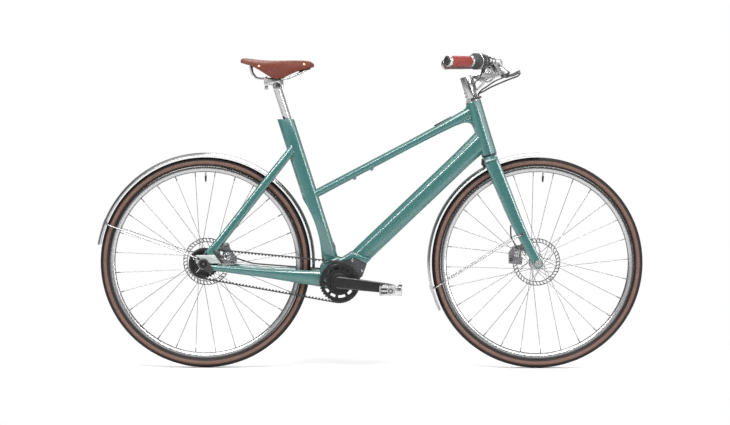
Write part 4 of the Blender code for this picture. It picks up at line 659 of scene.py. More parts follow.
HUB_HOLE_RADIUS = 0.0195
RIM_HOLE_RADIUS = 0.2990
FLANGE_OFFSET = 0.030


def heading(turn):
    """The direction at an angle round a wheel."""
    return Vector((math.cos(turn), 0, math.sin(turn)))


def lathe(name, profile, centre, steps, axis=Y_AXIS, start=Z_AXIS):
    """Spin a profile of (radius, along) points, in millimetres, about an axis through the centre."""
    piece = start_piece(name)
    points = [centre + (start * r + axis * y) / 1000 for r, y in profile]
    draw_line(points + points[:1] if profile[0][0] else points)
    weld(0.000001)
    bpy.ops.mesh.spin(steps=steps, angle=FULL_TURN, center=centre, axis=axis)
    weld(0.000004)
    return close_piece(piece)


def repeat(piece, count, centre):
    """Repeat a piece evenly round an axle."""
    activate(piece, "EDIT")
    pick_all()
    bpy.ops.mesh.spin(steps=count - 1, angle=FULL_TURN * (count - 1) / count, center=centre, axis=Y_AXIS, dupli=True)
    bpy.ops.object.mode_set(mode="OBJECT")
    return piece


def join_pieces(piece, others):
    deselect()
    for item in (piece, *others):
        item.select_set(True)
    bpy.context.view_layer.objects.active = piece
    bpy.ops.object.join()
    return piece


def polar(finish, centre):
    """Distance from a wheel's axle, and angle in turns."""
    x, _, z = finish.parts(finish.add("ShaderNodeVectorMath", {"operation": "SUBTRACT"}, [finish.place(), centre]))
    return (x * x + z * z).math("SQRT"), z.math("ARCTAN2", x).math("DIVIDE", FULL_TURN)


def wave(turn, count):
    """A ripple that repeats evenly round a wheel, from 0 to 1."""
    return (turn * (FULL_TURN * count)).math("SINE") * 0.5 + 0.5


def tyre_finish(name, centre):
    tyre = Finish(name, "brown_tyre", colour(90, 66, 58), 0.58, 0.0, {"Specular IOR Level": 0.20})
    radius, turn = polar(tyre, centre)
    cloth = tyre.noise(30.0, 4.0)
    casing = tyre.mix(cloth, colour(100, 75, 66), colour(122, 95, 85))
    # The near-black ring next to the rim is partly the darker rubber at the tyre's foot and partly painted shade where
    # the sidewall turns in towards the rim.
    bead_and_painted_shade = tyre.mix(cloth, colour(30, 22, 20), colour(46, 35, 32))
    shoulder = tyre.mix(cloth, colour(34, 26, 24), colour(46, 36, 33))
    sides = tyre.mix(radius.rise(0.3225, 0.3262), bead_and_painted_shade, tyre.mix(radius.rise(0.3335, 0.3360), casing, shoulder))
    tread_share = radius.rise(0.3375, 0.3392)
    tread = tyre.mix(tyre.noise(55.0, 3.0), colour(24, 20, 20), colour(42, 35, 34))
    tyre.paint(tyre.mix(tread_share, sides, tread), tread_share * 0.20 + 0.52)
    blocks = wave(turn, 150) * radius.rise(0.3385, 0.3400) * (radius < 0.3448)
    threads = wave(turn, 1100) * (1 - tread_share) * 0.10
    tyre.bump(blocks + threads + tyre.noise(1400.0, 2.0) * 0.08, 0.0008, 0.7)
    return tyre


def rim_finish(name, centre):
    """Polished on the flank, with near-black painted shade along the inner edge and beside the tyre."""
    rim = Finish(name, "satin_metal", (0.40, 0.40, 0.41, 1.0), 0.24, 0.85)
    radius, _ = polar(rim, centre)
    smears = rim.noise(18.0, 4.0)
    flank = rim.mix(smears, rim.base, (0.47, 0.47, 0.48, 1.0))
    # Painted shade: outside the polished flank the rim is near-black, at its inner edge and in the gap beside the tyre.
    bright = radius.rise(0.2992, 0.3008) * (1 - radius.rise(0.3080, 0.3140))
    rim.paint(rim.mix(bright, (0.07, 0.07, 0.07, 1.0), flank), smears * 0.08 + 0.20)
    return rim.grain(420, 2, 0.0001, 0.15, (1, 6, 1))


spoke_metal = Finish("spoke_steel", "satin_metal", (0.26, 0.26, 0.27, 1.0), 0.28, 1.0).vary(0.10, 90, 0.10)
hub_metal = Finish("satin_hub", "satin_metal", (0.40, 0.40, 0.41, 1.0), 0.33, 1.0).vary(0.08, 70, 0.12)
hub_metal.grain(900, 2, 0.0001, 0.2, (1, 8, 1))
valve_black = Finish("valve_cap", "black_plastic", colour(28, 28, 29), 0.4).vary(0.2, 200, 0.1)
rotor_metal = Finish("brushed_rotor", "polished_metal", (0.16, 0.155, 0.15, 1.0), 0.32, 1.0).vary(0.20, 60, 0.12)
rotor_metal.grain(700, 3, 0.0001, 0.35, (1, 0.2, 1))


def spoke_set(name, first_angle, centre):
    """Round spokes with a head at the hub and a slim nipple at the rim."""
    piece = start_piece(name)
    for number in range(SPOKE_COUNT):
        side, lean = (1 if number % 2 else -1), (1 if number // 2 % 2 else -1)
        angle = first_angle + FULL_TURN * number / SPOKE_COUNT
        hub = heading(angle + lean * SPOKE_LEAN) * HUB_HOLE_RADIUS + Y_AXIS * (side * FLANGE_OFFSET + lean * 0.0021)
        line = heading(angle) * RIM_HOLE_RADIUS + Y_AXIS * side * 0.0015 - hub
        turn = line.to_track_quat("Z", "Y").to_euler()
        for start, end, radius, corners in ((0.0, 1.0, SPOKE_RADIUS, 8), (-0.004, 0.006, NIPPLE_RADIUS, 8),
                                            (0.948, 1.006, NIPPLE_RADIUS, 6)):
            bpy.ops.mesh.primitive_cylinder_add(vertices=corners, radius=radius, depth=line.length * (end - start),
                                                location=centre + hub + line * (start + end) / 2, rotation=turn)
    bpy.ops.object.mode_set(mode="OBJECT")
    return piece


def hub_shell(name, centre, right_end, left_end, rotor_end):
    """A turned shell: two dished flanges, a waisted barrel and a neck for the rotor."""
    return lathe(name, [(AXLE_BORE, right_end), (10.5, right_end), (17, -35), *[(r, -y) for r, y in FLANGE],
                        (13.6, 0), *reversed(FLANGE), (17, 33.2), (17, rotor_end), (10.5, rotor_end + 0.6),
                        (10.5, left_end), (AXLE_BORE, left_end)], centre, 48)


def rotor_disc(name, centre):
    """A stamped steel band with slanted slots, on six raked arms and a bolted centre."""
    band = lathe(name, box(64, 78.5, -0.9, 0.9), centre, 144)
    cut_away(band, repeat(rod(centre + mm(82.2, 0, 0), 5, -5, 5.2, 20), 12, centre))
    slot = [(radius * math.cos(math.radians(angle)), radius * math.sin(math.radians(angle))) for radius, angle in
            ((66.8, 0), (66.8, 6.6), (71.2, 8.4), (75.6, 9.9), (75.6, 3.9), (71.2, 2.1))]
    cut_away(band, repeat(plate("rotor_slots", slot, -5, 5, centre), 40, centre))
    inner, outer = heading(0.05) * 0.0245, heading(0.52) * 0.0660
    elbow = (inner + outer) / 2 + mm(4, 0, -4)
    arms = start_piece("rotor_arms")
    for first, second in ((inner, elbow), (elbow, outer)):
        line = second - first
        bpy.ops.mesh.primitive_cube_add(size=1.0, location=centre + (first + second) / 2,
                                        rotation=line.to_track_quat("Z", "Y").to_euler(),
                                        scale=(0.0052, 0.0018, line.length * 1.08))
    middle = lathe("rotor_centre", box(17.3, 26.2, -1, 1), centre, 60)
    bolts = rod(centre + mm(21.5, 1.2, 0), 1.5, -1.5, 3.1, 12)
    return join_pieces(band, [middle, repeat(arms, 6, centre), repeat(bolts, 6, centre)])


for name, centre, first_angle, ends, rotor_offset, valve_angle in (
        ("front", FRONT_AXLE, math.radians(2.5), (-49.7, 49.7), 39.5, math.radians(86.25)),
        ("rear", REAR_AXLE, math.radians(6.5), (-49.7, 71), 55, math.radians(89.75))):
    body = name + "_wheel_body"
    finish_piece(lathe(name + "_tyre_ring", mirrored(TYRE_HALF), centre, 192), body,
                 tyre_finish(name + "_tyre_rubber", centre), name + "_tyre", 50)
    finish_piece(lathe(name + "_rim_ring", mirrored(RIM_HALF), centre, 192), body,
                 rim_finish(name + "_rim_metal", centre), name + "_rim", 30)
    shell = hub_shell(name + "_hub_shell", centre, *ends, rotor_offset + 2)
    finish_piece(shell, body, hub_metal, name + "_hub", 40)
    finish_piece(spoke_set(name + "_spokes", first_angle, centre), body, spoke_metal, None, 60)
    rotor = rotor_disc(name + "_brake_rotor", centre + mm(0, rotor_offset, 0))
    finish_piece(rotor, body, rotor_metal, name + "_rotor", 40)
    for part, finish, profile in (
            ("_valve_stem", hub_metal, [(0, -296), (2.9, -296), (2.9, -285), (0, -285)]),
            ("_valve_cap", valve_black,
             [(0, -285.5), (3.4, -285.5), (3.6, -280), (3, -270), (2.2, -265.5), (0, -265)])):
        valve = lathe(name + part, profile, centre, 16, -heading(valve_angle), Y_AXIS)
        finish_piece(valve, body, finish, None, 40)


# Fork: two painted aluminium blades that sweep forward, welded under a crown whose steel column turns in
# the head tube on two sealed headset bearings.
BLADE_ROWS = ((1.000, 0.00, 46, 12, 23.5), (0.692, 0.24, 48, 11.5, 22), (0.433, 0.43, 50.8, 10, 19.5),
              (0.206, 0.70, 54, 8, 16.5), (0.000, 1.00, 56.4, 6.2, 14.5), (-0.038, 1.06, 56.4, 5.8, 10.5))
BLADE_SHAPE = mirrored([(1.0, 0.55), (0.52, 1.0), (-0.70, 1.0), (-1.0, 0.70)])
CROWN_LOW = FORK_LENGTH - 0.020
CROWN_HALF = [(0, -58), (7, -58), (12.5, -52), (17, -40), (20, -27)]
for name, side in (("left", 1), ("right", -1)):
    stations = [(steer(high * CROWN_LOW, lead * FORK_RAKE, side * offset / 1000), half_width, half_depth)
                for high, lead, offset, half_width, half_depth in smooth_rows(BLADE_ROWS, 4)]
    blade = loft("fork_blade_shell_" + name, tube_sections(stations, BLADE_SHAPE), 3.5, 3)
    slice_off(blade, steer(CROWN_LOW - 0.0004), UP)
    cut_away(blade, rod(FRONT_AXLE, -200, 200, AXLE_BORE, 48))
    finish_piece(blade, "steering_body", lacquer, "fork_blade_" + name, 40)
crown_outline = [(side, high) for high, side in mirrored(CROWN_HALF)]
crown = plate("fork_crown", crown_outline, -22.5, 22.5, steer(CROWN_LOW), Y_AXIS, UP, 4.5, 4)
cut_away(crown, cylinder(steer(FORK_LENGTH - 0.010), steer(HEAD_HIGH + 0.0848), 14.3, 48), "UNION")
finish_piece(crown, "steering_body", lacquer, "fork_steerer", 40)

bearing_black = Finish("bearing_black", "black_anodised", colour(40, 40, 42), 0.36, 0.7).vary(0.15, 90, 0.12)
bearing_black.grain(800, 2, 0.0001, 0.3, (1, 1, 6))
for name, low, height, finish in (("lower", FORK_LENGTH + GAP, 3.5, bearing_black),
                                  ("upper", HEAD_HIGH + GAP, 3.2, hub_metal)):
    ring = [(14.6, 0), (24.4, 0), (25, 0.6), (25, height - 0.6), (24.4, height), (14.6, height)]
    finish_piece(lathe("headset_ring_" + name, ring, steer(low), 64, UP, Y_AXIS), "frame", finish,
                 "headset_" + name + "_bearing")


# Thru axles: hollow aluminium rods that screw into the left side, with a round head and a hexagon socket;
# the rear one's head is black with a bare middle.
black_head = Finish("black_axle_head", "satin_metal", colour(34, 34, 36), 0.34, 0.5)
head_radius, _ = polar(black_head, REAR_AXLE)
black_head.paint(black_head.mix(head_radius.rise(0.0030, 0.0038), colour(120, 120, 120), colour(30, 30, 32)),
                 black_head.noise(300.0, 3.0) * 0.12 + 0.30)
for name, centre, half, body, finish in (("front", FRONT_AXLE, 63.4, "steering_body", hub_metal),
                                         ("rear", REAR_AXLE, 83.6, "frame", black_head)):
    head = half + 4
    axle = lathe(name + "_thru_axle", [(0, 3 - head), (3, 3 - head), (3.4, 0.2 - head), (7, -head), (10.7, -head),
                                       (11.5, 0.8 - head), (11.5, -half), (6, -half), (6, half - 0.6), (5.4, half),
                                       (0, half)], centre, 48)
    finish_piece(axle, body, finish, name + "_axle")


# Cable port: a moulded black cover on the head tube that takes the hoses and the shift cable inside.
PORT_LOW = HEAD_HIGH + 0.0038
PORT_HEIGHT = 7.2
moulded = Finish("moulded_black", "black_plastic", colour(36, 36, 37), 0.48).vary(0.14, 40, 0.10)
moulded.grain(1500, 2, 0.00012, 0.35)
port_outline = [*arc((0, 0), 26, -14, 30, 10), *arc((0, 16), 14.5, 0, 180, 24), *arc((0, 0), 26, 150, 194, 10)]
port = plate("port_cover", port_outline, 0, PORT_HEIGHT, steer(PORT_LOW), Y_AXIS, AHEAD, 1.6, 3)
cut_away(port, rod(steer(PORT_LOW), -20, PORT_HEIGHT + 20, 22.2, 64, UP))
finish_piece(port, "steering_body", moulded, "cable_port")


# Stem: a forged and polished aluminium neck with an open web, split at the bar and pinched on the steerer
# by small socket bolts.
STEM_LOW = PORT_LOW + PORT_HEIGHT / 1000 + GAP
STEM_HEIGHT = 74
CLAMP = steer(HEAD_HIGH + 0.0645, 0.0686)
BAR_BORE = 11.4
HEAD_TOP = (HEAD_HIGH - STEM_LOW) * 1000


def polished(name, tone=0.40, roughness=0.18, grain=(1, 1, 1), slot="polished_metal"):
    """Buffed aluminium: soft grain, faint smears, and a roughness that drifts."""
    shine = Finish(name, slot, (tone, tone, tone * 1.01, 1.0), roughness, 1.0).vary(0.10, 22, 0.10)
    return shine.grain(500, 3, 0.0001, 0.25, grain)


def socket_bolt(head, inward, radius, body, finish, depth=3.0):
    """A round bolt head with a hexagon socket, seated along a direction."""
    inward = inward.normalized()
    bolt = rod(head, 0, depth, radius, 32, inward)
    cut_away(bolt, rod(head, -2, depth * 0.7, radius * 0.55, 6, inward))
    finish_piece(round_edges(bolt, radius * 0.12), body, finish)


def stem_plate(name, outline, half, edge=0.0):
    """A plate along the stem's middle; its outline is ahead of the steerer and above the stem's foot."""
    return plate(name, outline, -half, half, steer(STEM_LOW), AHEAD, UP, edge, 3)


stem_shine = polished("polished_stem")
stem = rod(steer(STEM_LOW), 0, STEM_HEIGHT, 19, 72, UP)
cut_away(stem, rod(CLAMP, -21, 21, 20, 72), "UNION")
web = [(0, 7), (60.6, HEAD_TOP + 48.5), (68.6, HEAD_TOP + 83), (0, STEM_HEIGHT - 3)]
cut_away(stem, stem_plate("stem_web", web, 9, 3), "UNION")
window = [(23, 25), (46.6, HEAD_TOP + 50.5), (23, STEM_HEIGHT - 11.5)]
cut_away(stem, stem_plate("stem_window", window, 30))
round_edges(stem, 1.0)
cut_away(stem, rod(CLAMP, -50, 50, 16.2, 72))
cut_away(stem, plate("stem_split", box(0, 50, -0.6, 0.6), -30, 30, CLAMP, AHEAD, UP))
cut_away(stem, stem_plate("stem_pinch", box(-30, -12, 0, 30), 0.6))
cut_away(stem, rod(steer(STEM_LOW), -20, STEM_HEIGHT - 2, 14.7, 64, UP))
finish_piece(stem, "steering_body", stem_shine, "stem", 32)
spacer = [(14.8, 0), (21.4, 0), (21.8, 0.5), (21.8, 6.6), (21.4, 7.1), (14.8, 7.1)]
finish_piece(lathe("steerer_spacer", spacer, steer(PORT_LOW), 64, UP, Y_AXIS), "steering_body", stem_shine)
for side in (-1, 1):
    for along in (-0.0069, 0.0069):
        seat = CLAMP + AHEAD * 0.0186 + UP * along + Y_AXIS * side * 0.0135
        socket_bolt(seat, -AHEAD, 3.4, "steering_body", bearing_black, 5)
for along in (0.010, 0.022):
    seat = steer(STEM_LOW + along, -0.0180, -0.0060)
    socket_bolt(seat, Y_AXIS, 2.6, "steering_body", bearing_black, 4)
top_cap = steer(STEM_LOW + (STEM_HEIGHT - 0.1) / 1000)
socket_bolt(top_cap, -UP, 5.2, "steering_body", bearing_black)

# Handlebar: a swept-back tube of polished aluminium, thicker in the clamp and thin under the grips.
BAR_BENDS = ((0, 0, 0), (0, 24, 0), (0, 36, 0), (14.4, 70, 4.5), (29, 110, 16.5), (32.5, 137, 32))
BAR_RADIUS = 0.0111
BAR_MIDDLE_RADIUS = 0.0159
SWEEP = math.radians(40)
LEVER_DROP = math.radians(47.7)


def bar_end(side):
    """The tip of the bar, the way in along the grip and the way out to the brake lever."""
    inward = Vector((math.cos(SWEEP), -side * math.sin(SWEEP), 0))
    outward = Vector((math.sin(SWEEP), side * math.cos(SWEEP), 0))
    reach = outward * math.cos(LEVER_DROP) - Z_AXIS * math.sin(LEVER_DROP)
    return CLAMP + mm(-134.9, side * 300, 45.6), inward, reach


bar_points = []
for side in (-1, 1):
    tip, inward, _ = bar_end(side)
    run = [CLAMP + mm(x, side * y, z) for x, y, z in BAR_BENDS]
    run += [tip + inward * along for along in (0.215, 0.195, 0.050, 0.001)]
    bar_points = run[::-1] if side < 0 else bar_points + run[1:]
bar = sleeve_along("handlebar_tube", smooth_route(bar_points, 0.006), BAR_RADIUS, 10)
for point in bar.data.splines[0].points:
    share = min(max((0.050 - abs(point.co.y)) / 0.024, 0), 1)
    point.radius = 1 + (BAR_MIDDLE_RADIUS / BAR_RADIUS - 1) * share
bpy.ops.object.convert(target="MESH")
finish_piece(bpy.context.object, "steering_body", polished("polished_bar", 0.60), "handlebar", 60)


# Grips: stitched leather sleeves over the bar's ends, held by polished rings and closed by black plugs.
def distance_along(finish, origin, direction):
    """How far a point lies from an origin along a direction."""
    offset = finish.add("ShaderNodeVectorMath", {"operation": "SUBTRACT"}, [finish.place(), origin])
    return finish.add("ShaderNodeVectorMath", {"operation": "DOT_PRODUCT"}, [offset, direction], 1)


def along_axis(finish, origin, axis, square):
    """Distance along a round piece, and angle round it in turns."""
    turn = distance_along(finish, origin, axis.cross(square)).math("ARCTAN2", distance_along(finish, origin, square))
    return distance_along(finish, origin, axis), turn.math("DIVIDE", FULL_TURN)


ring_shine = polished("polished_ring", 0.48)
for name, side, length, tones in (("left", 1, 130, (colour(82, 60, 55), colour(108, 82, 76))),
                                  ("right", -1, 100, (colour(124, 48, 43), colour(146, 62, 55)))):
    tip, inward, _ = bar_end(side)
    skin = Finish("grip_leather_" + name, "brown_grip", tones[0], 0.55, 0.0, {"Specular IOR Level": 0.25})
    along, turn = along_axis(skin, tip, inward, -Z_AXIS)
    skin.paint(skin.mix(skin.noise(70.0, 5.0), *tones), skin.noise(60.0, 3.0) * 0.2 + 0.42)
    off_seam = turn.math("ABSOLUTE")
    thread = ((off_seam - 0.016).math("ABSOLUTE") < 0.005) * ((along * 1800.0).math("SINE") > 0.0)
    skin.bump((off_seam < 0.006) * -1.0 + thread * 0.8 + skin.noise(420.0, 5.0) * 0.35, 0.0003, 0.5)
    for part, steps, finish, node, profile in (
            ("grip_sleeve_", 64, skin, "grip_" + name,
             [(11.5, 8), (16.3, 8), (16.7, 8.8), (17, length / 2), (16.7, length - 8.8), (16.3, length - 8),
              (11.5, length - 8)]),
            ("grip_plug_", 48, moulded, None,
             [(0, -6), (11, -6), (12.8, -5.2), (14, -3.4), (14, 0.7), (0, 0.7)]),
            ("grip_end_ring_", 64, ring_shine, None,
             [(11.5, 0.8), (14.2, -3), (16.2, -3), (17.8, -0.8), (18.2, 0.8), (18.2, 7), (17.6, 7.8), (11.5, 7.8)]),
            ("grip_inner_ring_", 64, ring_shine, None,
             [(11.5, length - 7.8), (17.2, length - 7.8), (17.7, length - 7.2), (17.7, length - 0.6), (17.2, length),
              (11.5, length)])):
        finish_piece(lathe(part + name, profile, tip, steps, inward), "steering_body", finish, node)

# Twist shifter: a ribbed rubber barrel with a polished ring, which turns on the bar beside the right grip,
# and the fixed housing that the shift cable leaves.
tip, inward, _ = bar_end(-1)
ribbed = Finish("ribbed_rubber", "black_plastic", colour(66, 63, 65), 0.62)
along, turn = along_axis(ribbed, tip, inward, Z_AXIS)
# The ribs' crests are painted lighter than the grooves and the plain rubber around them: a painted highlight on the
# crests.
ribs = wave(turn, 30).rise(0.35, 0.75) * along.rise(0.1125, 0.1145) * (1 - along.rise(0.1238, 0.1256))
ribbed.paint(ribbed.mix(ribs, colour(34, 32, 33), colour(72, 69, 71)), ribbed.noise(120.0, 3.0) * 0.15 + 0.5)
ribbed.bump(ribs + ribbed.noise(900.0, 2.0) * 0.1, 0.0018, 0.8)
for name, finish, node, profile in (
        ("shifter_sleeve", ribbed, "shifter_barrel",
         [(BAR_BORE, 100.3), (17.2, 100.3), (18, 101), (21.5, 106.2), (25, 109.8), (26.5, 112.5), (26.5, 125.2),
          (26, 126.2), (BAR_BORE, 126.2)]),
        ("shifter_ring", ring_shine, None,
         [(BAR_BORE, 126.3), (25.4, 126.3), (26.2, 127), (26.2, 128.8), (25.4, 129.5), (BAR_BORE, 129.5)]),
        ("shifter_tail", moulded, None,
         [(BAR_BORE, 129.6), (24, 129.6), (25.2, 130.4), (25.6, 133), (25.6, 142), (24.6, 146.2), (23.2, 147.5),
          (BAR_BORE, 147.5)])):
    finish_piece(lathe(name, profile, tip, 96, inward), "shifter_barrel_body", finish, node)
housing = lathe("shifter_case", [(BAR_BORE, 147.8), (20.6, 147.8), (20.6, 149.6), (22, 150), (22, 158.8), (20.8, 161.2),
                                 (17.2, 165), (16, 165.8), (BAR_BORE, 165.8)], tip, 72, inward)
outlet = [(0, 0), (6, 0), (6, 16), (4.8, 17.5), (4.8, 28.5), (4.2, 30), (3, 30.5), (0, 30.5)]
cut_away(housing, lathe("shifter_outlet", outlet, tip + inward * 0.1568 - Z_AXIS * 0.0160, 32,
                        mm(-11.5, 8, -28).normalized(), Y_AXIS), "UNION")
finish_piece(housing, "steering_body", moulded, "shifter_housing")
collar = [(BAR_BORE, 147.8), (21.8, 147.8), (22.6, 148.4), (22.6, 149.4), (21.8, 149.9), (BAR_BORE, 149.9)]
finish_piece(lathe("shifter_collar", collar, tip, 72, inward), "steering_body", ring_shine)


# Frame trim: black socket bolts in the bottle bosses, a glued rubber strip on the top tube before the head
# tube, and a moulded guide that leads the shift cable out of the seat tube.
for distance in BOSS_PLACES:
    boss_face = top_low + top_along * distance - top_above * 0.0185
    socket_bolt(boss_face, top_above, 4.2, "frame", bearing_black)
strip_middle = top_low.lerp(top_high, (0.2479 - top_low.x) / (top_high.x - top_low.x))
strip = plate("cable_strip", box(-32, 32, -7, 7), 14, 18.6, strip_middle, top_along, -Y_AXIS, 1.8, 3)
finish_piece(strip, "frame", sleeve)
guide_outline = [(-5, -13), (2.2, -13), (4, -2), (2.2, 13), (-5, 15)]
guide_foot = SEAT_TOP + SEAT_AHEAD * 0.0190 - SEAT_UP * 0.445
finish_piece(plate("cable_guide", guide_outline, -5.5, 5.5, guide_foot, SEAT_AHEAD, SEAT_UP, 1.2), "frame", moulded)


# Gearbox: a sealed magnesium casting that hangs from the bridge, with a thin bolted cover on the belt side.
SPINDLE_BORE = 11.3
casting = Finish("black_casting", "dark_casting", colour(66, 67, 71), 0.46, 0.35).vary(0.16, 35, 0.12)
casting.grain(900, 4, 0.0003, 0.45, roughness=0.7)
case = plate("gearbox_case", GEARBOX_OUTLINE, -38, 38, BRACKET, edge=3, steps=3)
cut_away(case, rod(BRACKET, -150, 150, SPINDLE_BORE, 48))
finish_piece(case, "frame", casting, "gearbox_housing")
cover = plate("gearbox_lid", GEARBOX_OUTLINE, -44, -38.3, BRACKET, edge=1.6, inset=3)
cut_away(cover, round_edges(rod(BRACKET + mm(26, 0, 23.5), -48.5, -40, 37, 96), 3, 4), "UNION")
cut_away(cover, rod(BRACKET, -150, 150, SPINDLE_BORE, 48))
finish_piece(cover, "frame", casting, "gearbox_cover")
steel_bright = polished("bright_bolt", 0.56, 0.22, slot="satin_metal")
for x, z in ((42.5, 70.5), (75.2, 36.2), (-21, 45.5)):
    socket_bolt(BRACKET + mm(x, -45.2, z), Y_AXIS, 3.6, "frame", steel_bright)


# Sprockets: machined aluminium rings with a groove for each belt tooth, black at the cranks, on five
# spokes, and a smaller one on the rear hub's driver.
PITCH = 0.011
FRONT_TEETH = 38
REAR_TEETH = 28
BELT_LINE = mm(0, -55, 0)
anodised = Finish("black_anodised_metal", "black_anodised", colour(24, 24, 25), 0.40, 0.20,
                  {"Specular IOR Level": 0.35})
anodised.vary(0.14, 50, 0.12).grain(700, 3, 0.0001, 0.3)


def toothed_disc(name, centre, teeth, first_turn, profile):
    """A turned disc with a groove for each tooth of the belt."""
    disc = lathe(name, profile, centre, teeth * 4)
    groove = rod(centre + heading(first_turn) * (profile[1][0] - 0.8) / 1000, 15, -15, 2.8, 10)
    cut_away(disc, repeat(groove, teeth, centre))
    return disc


def ring_slot(inner, outer, middle, inner_spread, outer_spread):
    """A curved opening between two radii, about a middle angle in degrees."""
    return [*arc((0, 0), outer, middle - outer_spread, middle + outer_spread, 8),
            *arc((0, 0), inner, middle + inner_spread, middle - inner_spread, 6)]


# The belt's pitch line: over the front sprocket, along the top, round the rear one and back below
front_pitch, rear_pitch = FRONT_TEETH * PITCH / FULL_TURN, REAR_TEETH * PITCH / FULL_TURN
between = BRACKET - REAR_AXLE
slope_turn = math.atan2(between.z, between.x)
spread_turn = math.acos((rear_pitch - front_pitch) / between.length)
foot_turn, top_turn = slope_turn - spread_turn, slope_turn + spread_turn
front_wrap = 2 * spread_turn * front_pitch
rear_wrap = (FULL_TURN - 2 * spread_turn) * rear_pitch
run = math.sqrt(between.length ** 2 - (front_pitch - rear_pitch) ** 2)


def pitch_line(distance):
    """The point and outward direction at a distance round the belt, from the front sprocket's foot."""
    if distance <= front_wrap:
        outward = heading(foot_turn + distance / front_pitch)
        return BRACKET + outward * front_pitch, outward
    outward, distance = heading(top_turn), distance - front_wrap
    if distance <= run:
        return (BRACKET + outward * front_pitch).lerp(REAR_AXLE + outward * rear_pitch, distance / run), outward
    distance -= run
    if distance <= rear_wrap:
        outward = heading(top_turn + distance / rear_pitch)
        return REAR_AXLE + outward * rear_pitch, outward
    outward, distance = heading(foot_turn), distance - rear_wrap
    return (REAR_AXLE + outward * rear_pitch).lerp(BRACKET + outward * front_pitch, distance / run), outward


BELT_HALF_WIDTH = mm(0, 6, 0)
belt_length = front_wrap + rear_wrap + 2 * run
belt_count = round(belt_length / PITCH)
tooth = belt_length / belt_count
back_line, tooth_line = [], []
for i in range(belt_count):
    for share, drop in ((-0.32, 0.0008), (-0.20, 0.0044), (0.20, 0.0044), (0.32, 0.0008)):
        point, outward = pitch_line(((i + share) % belt_count) * tooth)
        back_line.append(point + outward * 0.0022 + BELT_LINE - BELT_HALF_WIDTH)
        tooth_line.append(point - outward * drop + BELT_LINE - BELT_HALF_WIDTH)
belt = start_piece("toothed_belt")
for line in (back_line, tooth_line):
    draw_line(line + line[:1])
weld(0.00005)
pick_all("EDGE")
bpy.ops.mesh.bridge_edge_loops()
pick_all("EDGE")
pull(2 * BELT_HALF_WIDTH)
belt_rubber = Finish("belt_rubber", "black_rubber", colour(34, 34, 35), 0.68).vary(0.16, 60, 0.12)
belt_rubber.grain(1100, 2, 0.0002, 0.5, (1, 5, 1))
finish_piece(close_piece(belt), "frame", belt_rubber, "drive_belt", 25)

front_disc = toothed_disc("front_sprocket_ring", BRACKET + BELT_LINE, FRONT_TEETH, foot_turn,
                          box(SPINDLE_BORE, 65.4, -5, 5))
for number in range(5):
    for middle, spread in ((-80 + 72 * number, 14.5), (-44 + 72 * number, 10.0)):
        slot = ring_slot(42.5, 51.5, middle, spread, spread)
        cut_away(front_disc, plate("sprocket_opening", slot, -20, 20, BRACKET + BELT_LINE, edge=2.5, steps=3))
round_edges(front_disc, 0.6, 1)
cut_away(front_disc, lathe("sprocket_carrier", [(SPINDLE_BORE, -63.5), (27.5, -63.5), (29, -62.8), (30, -60),
                                                (30, -59.5), (SPINDLE_BORE, -59.5)], BRACKET, 64), "UNION")
finish_piece(front_disc, "front_sprocket_body", anodised, "front_sprocket")
edge_shine = polished("sprocket_edge", 0.34, 0.20, slot="satin_metal")
for ring in ([(58.4, -59.8), (59.3, -60.7), (60, -59.8)], [(30.2, -59.8), (31.4, -61), (31.8, -59.8)]):
    finish_piece(lathe("sprocket_edge", ring, BRACKET, 96), "front_sprocket_body", edge_shine)

REAR_ARM_TURN = 13
past_teeth = (front_wrap + run) / tooth
rear_groove = top_turn + (math.ceil(past_teeth) - past_teeth) * tooth / rear_pitch
rear_disc = toothed_disc("rear_sprocket_ring", REAR_AXLE + BELT_LINE, REAR_TEETH, rear_groove,
                         [(AXLE_BORE, -4), (47.9, -5), (47.9, 5), (AXLE_BORE, 5)])
for number in range(5):
    pocket = ring_slot(22.5, 39.2, REAR_ARM_TURN + 36 + 72 * number, 22, 27)
    cut_away(rear_disc, plate("sprocket_pocket", pocket, -20, -3, REAR_AXLE + BELT_LINE, edge=2.5))
finish_piece(round_edges(rear_disc, 0.5, 1), "rear_sprocket_body", anodised, "rear_sprocket")
for number in range(5):
    arm_line = heading(math.radians(REAR_ARM_TURN + 72 * number))
    arm = plate("sprocket_arm", [(19, -1.4), (40.5, -0.8), (41.2, 0), (40.5, 0.8), (19, 1.4)], -61.2, -59.9,
                REAR_AXLE, arm_line, arm_line.cross(Y_AXIS), 0.3)
    finish_piece(arm, "rear_sprocket_body", steel_bright)
driver = lathe("rear_driver", [(AXLE_BORE, -71.1), (15, -71.1), (15.5, -70.5), (15.5, -60), (18.5, -59.2),
                               (18.5, -58.5), (AXLE_BORE, -58.5)], REAR_AXLE, 48)
finish_piece(driver, "rear_sprocket_body", hub_metal)


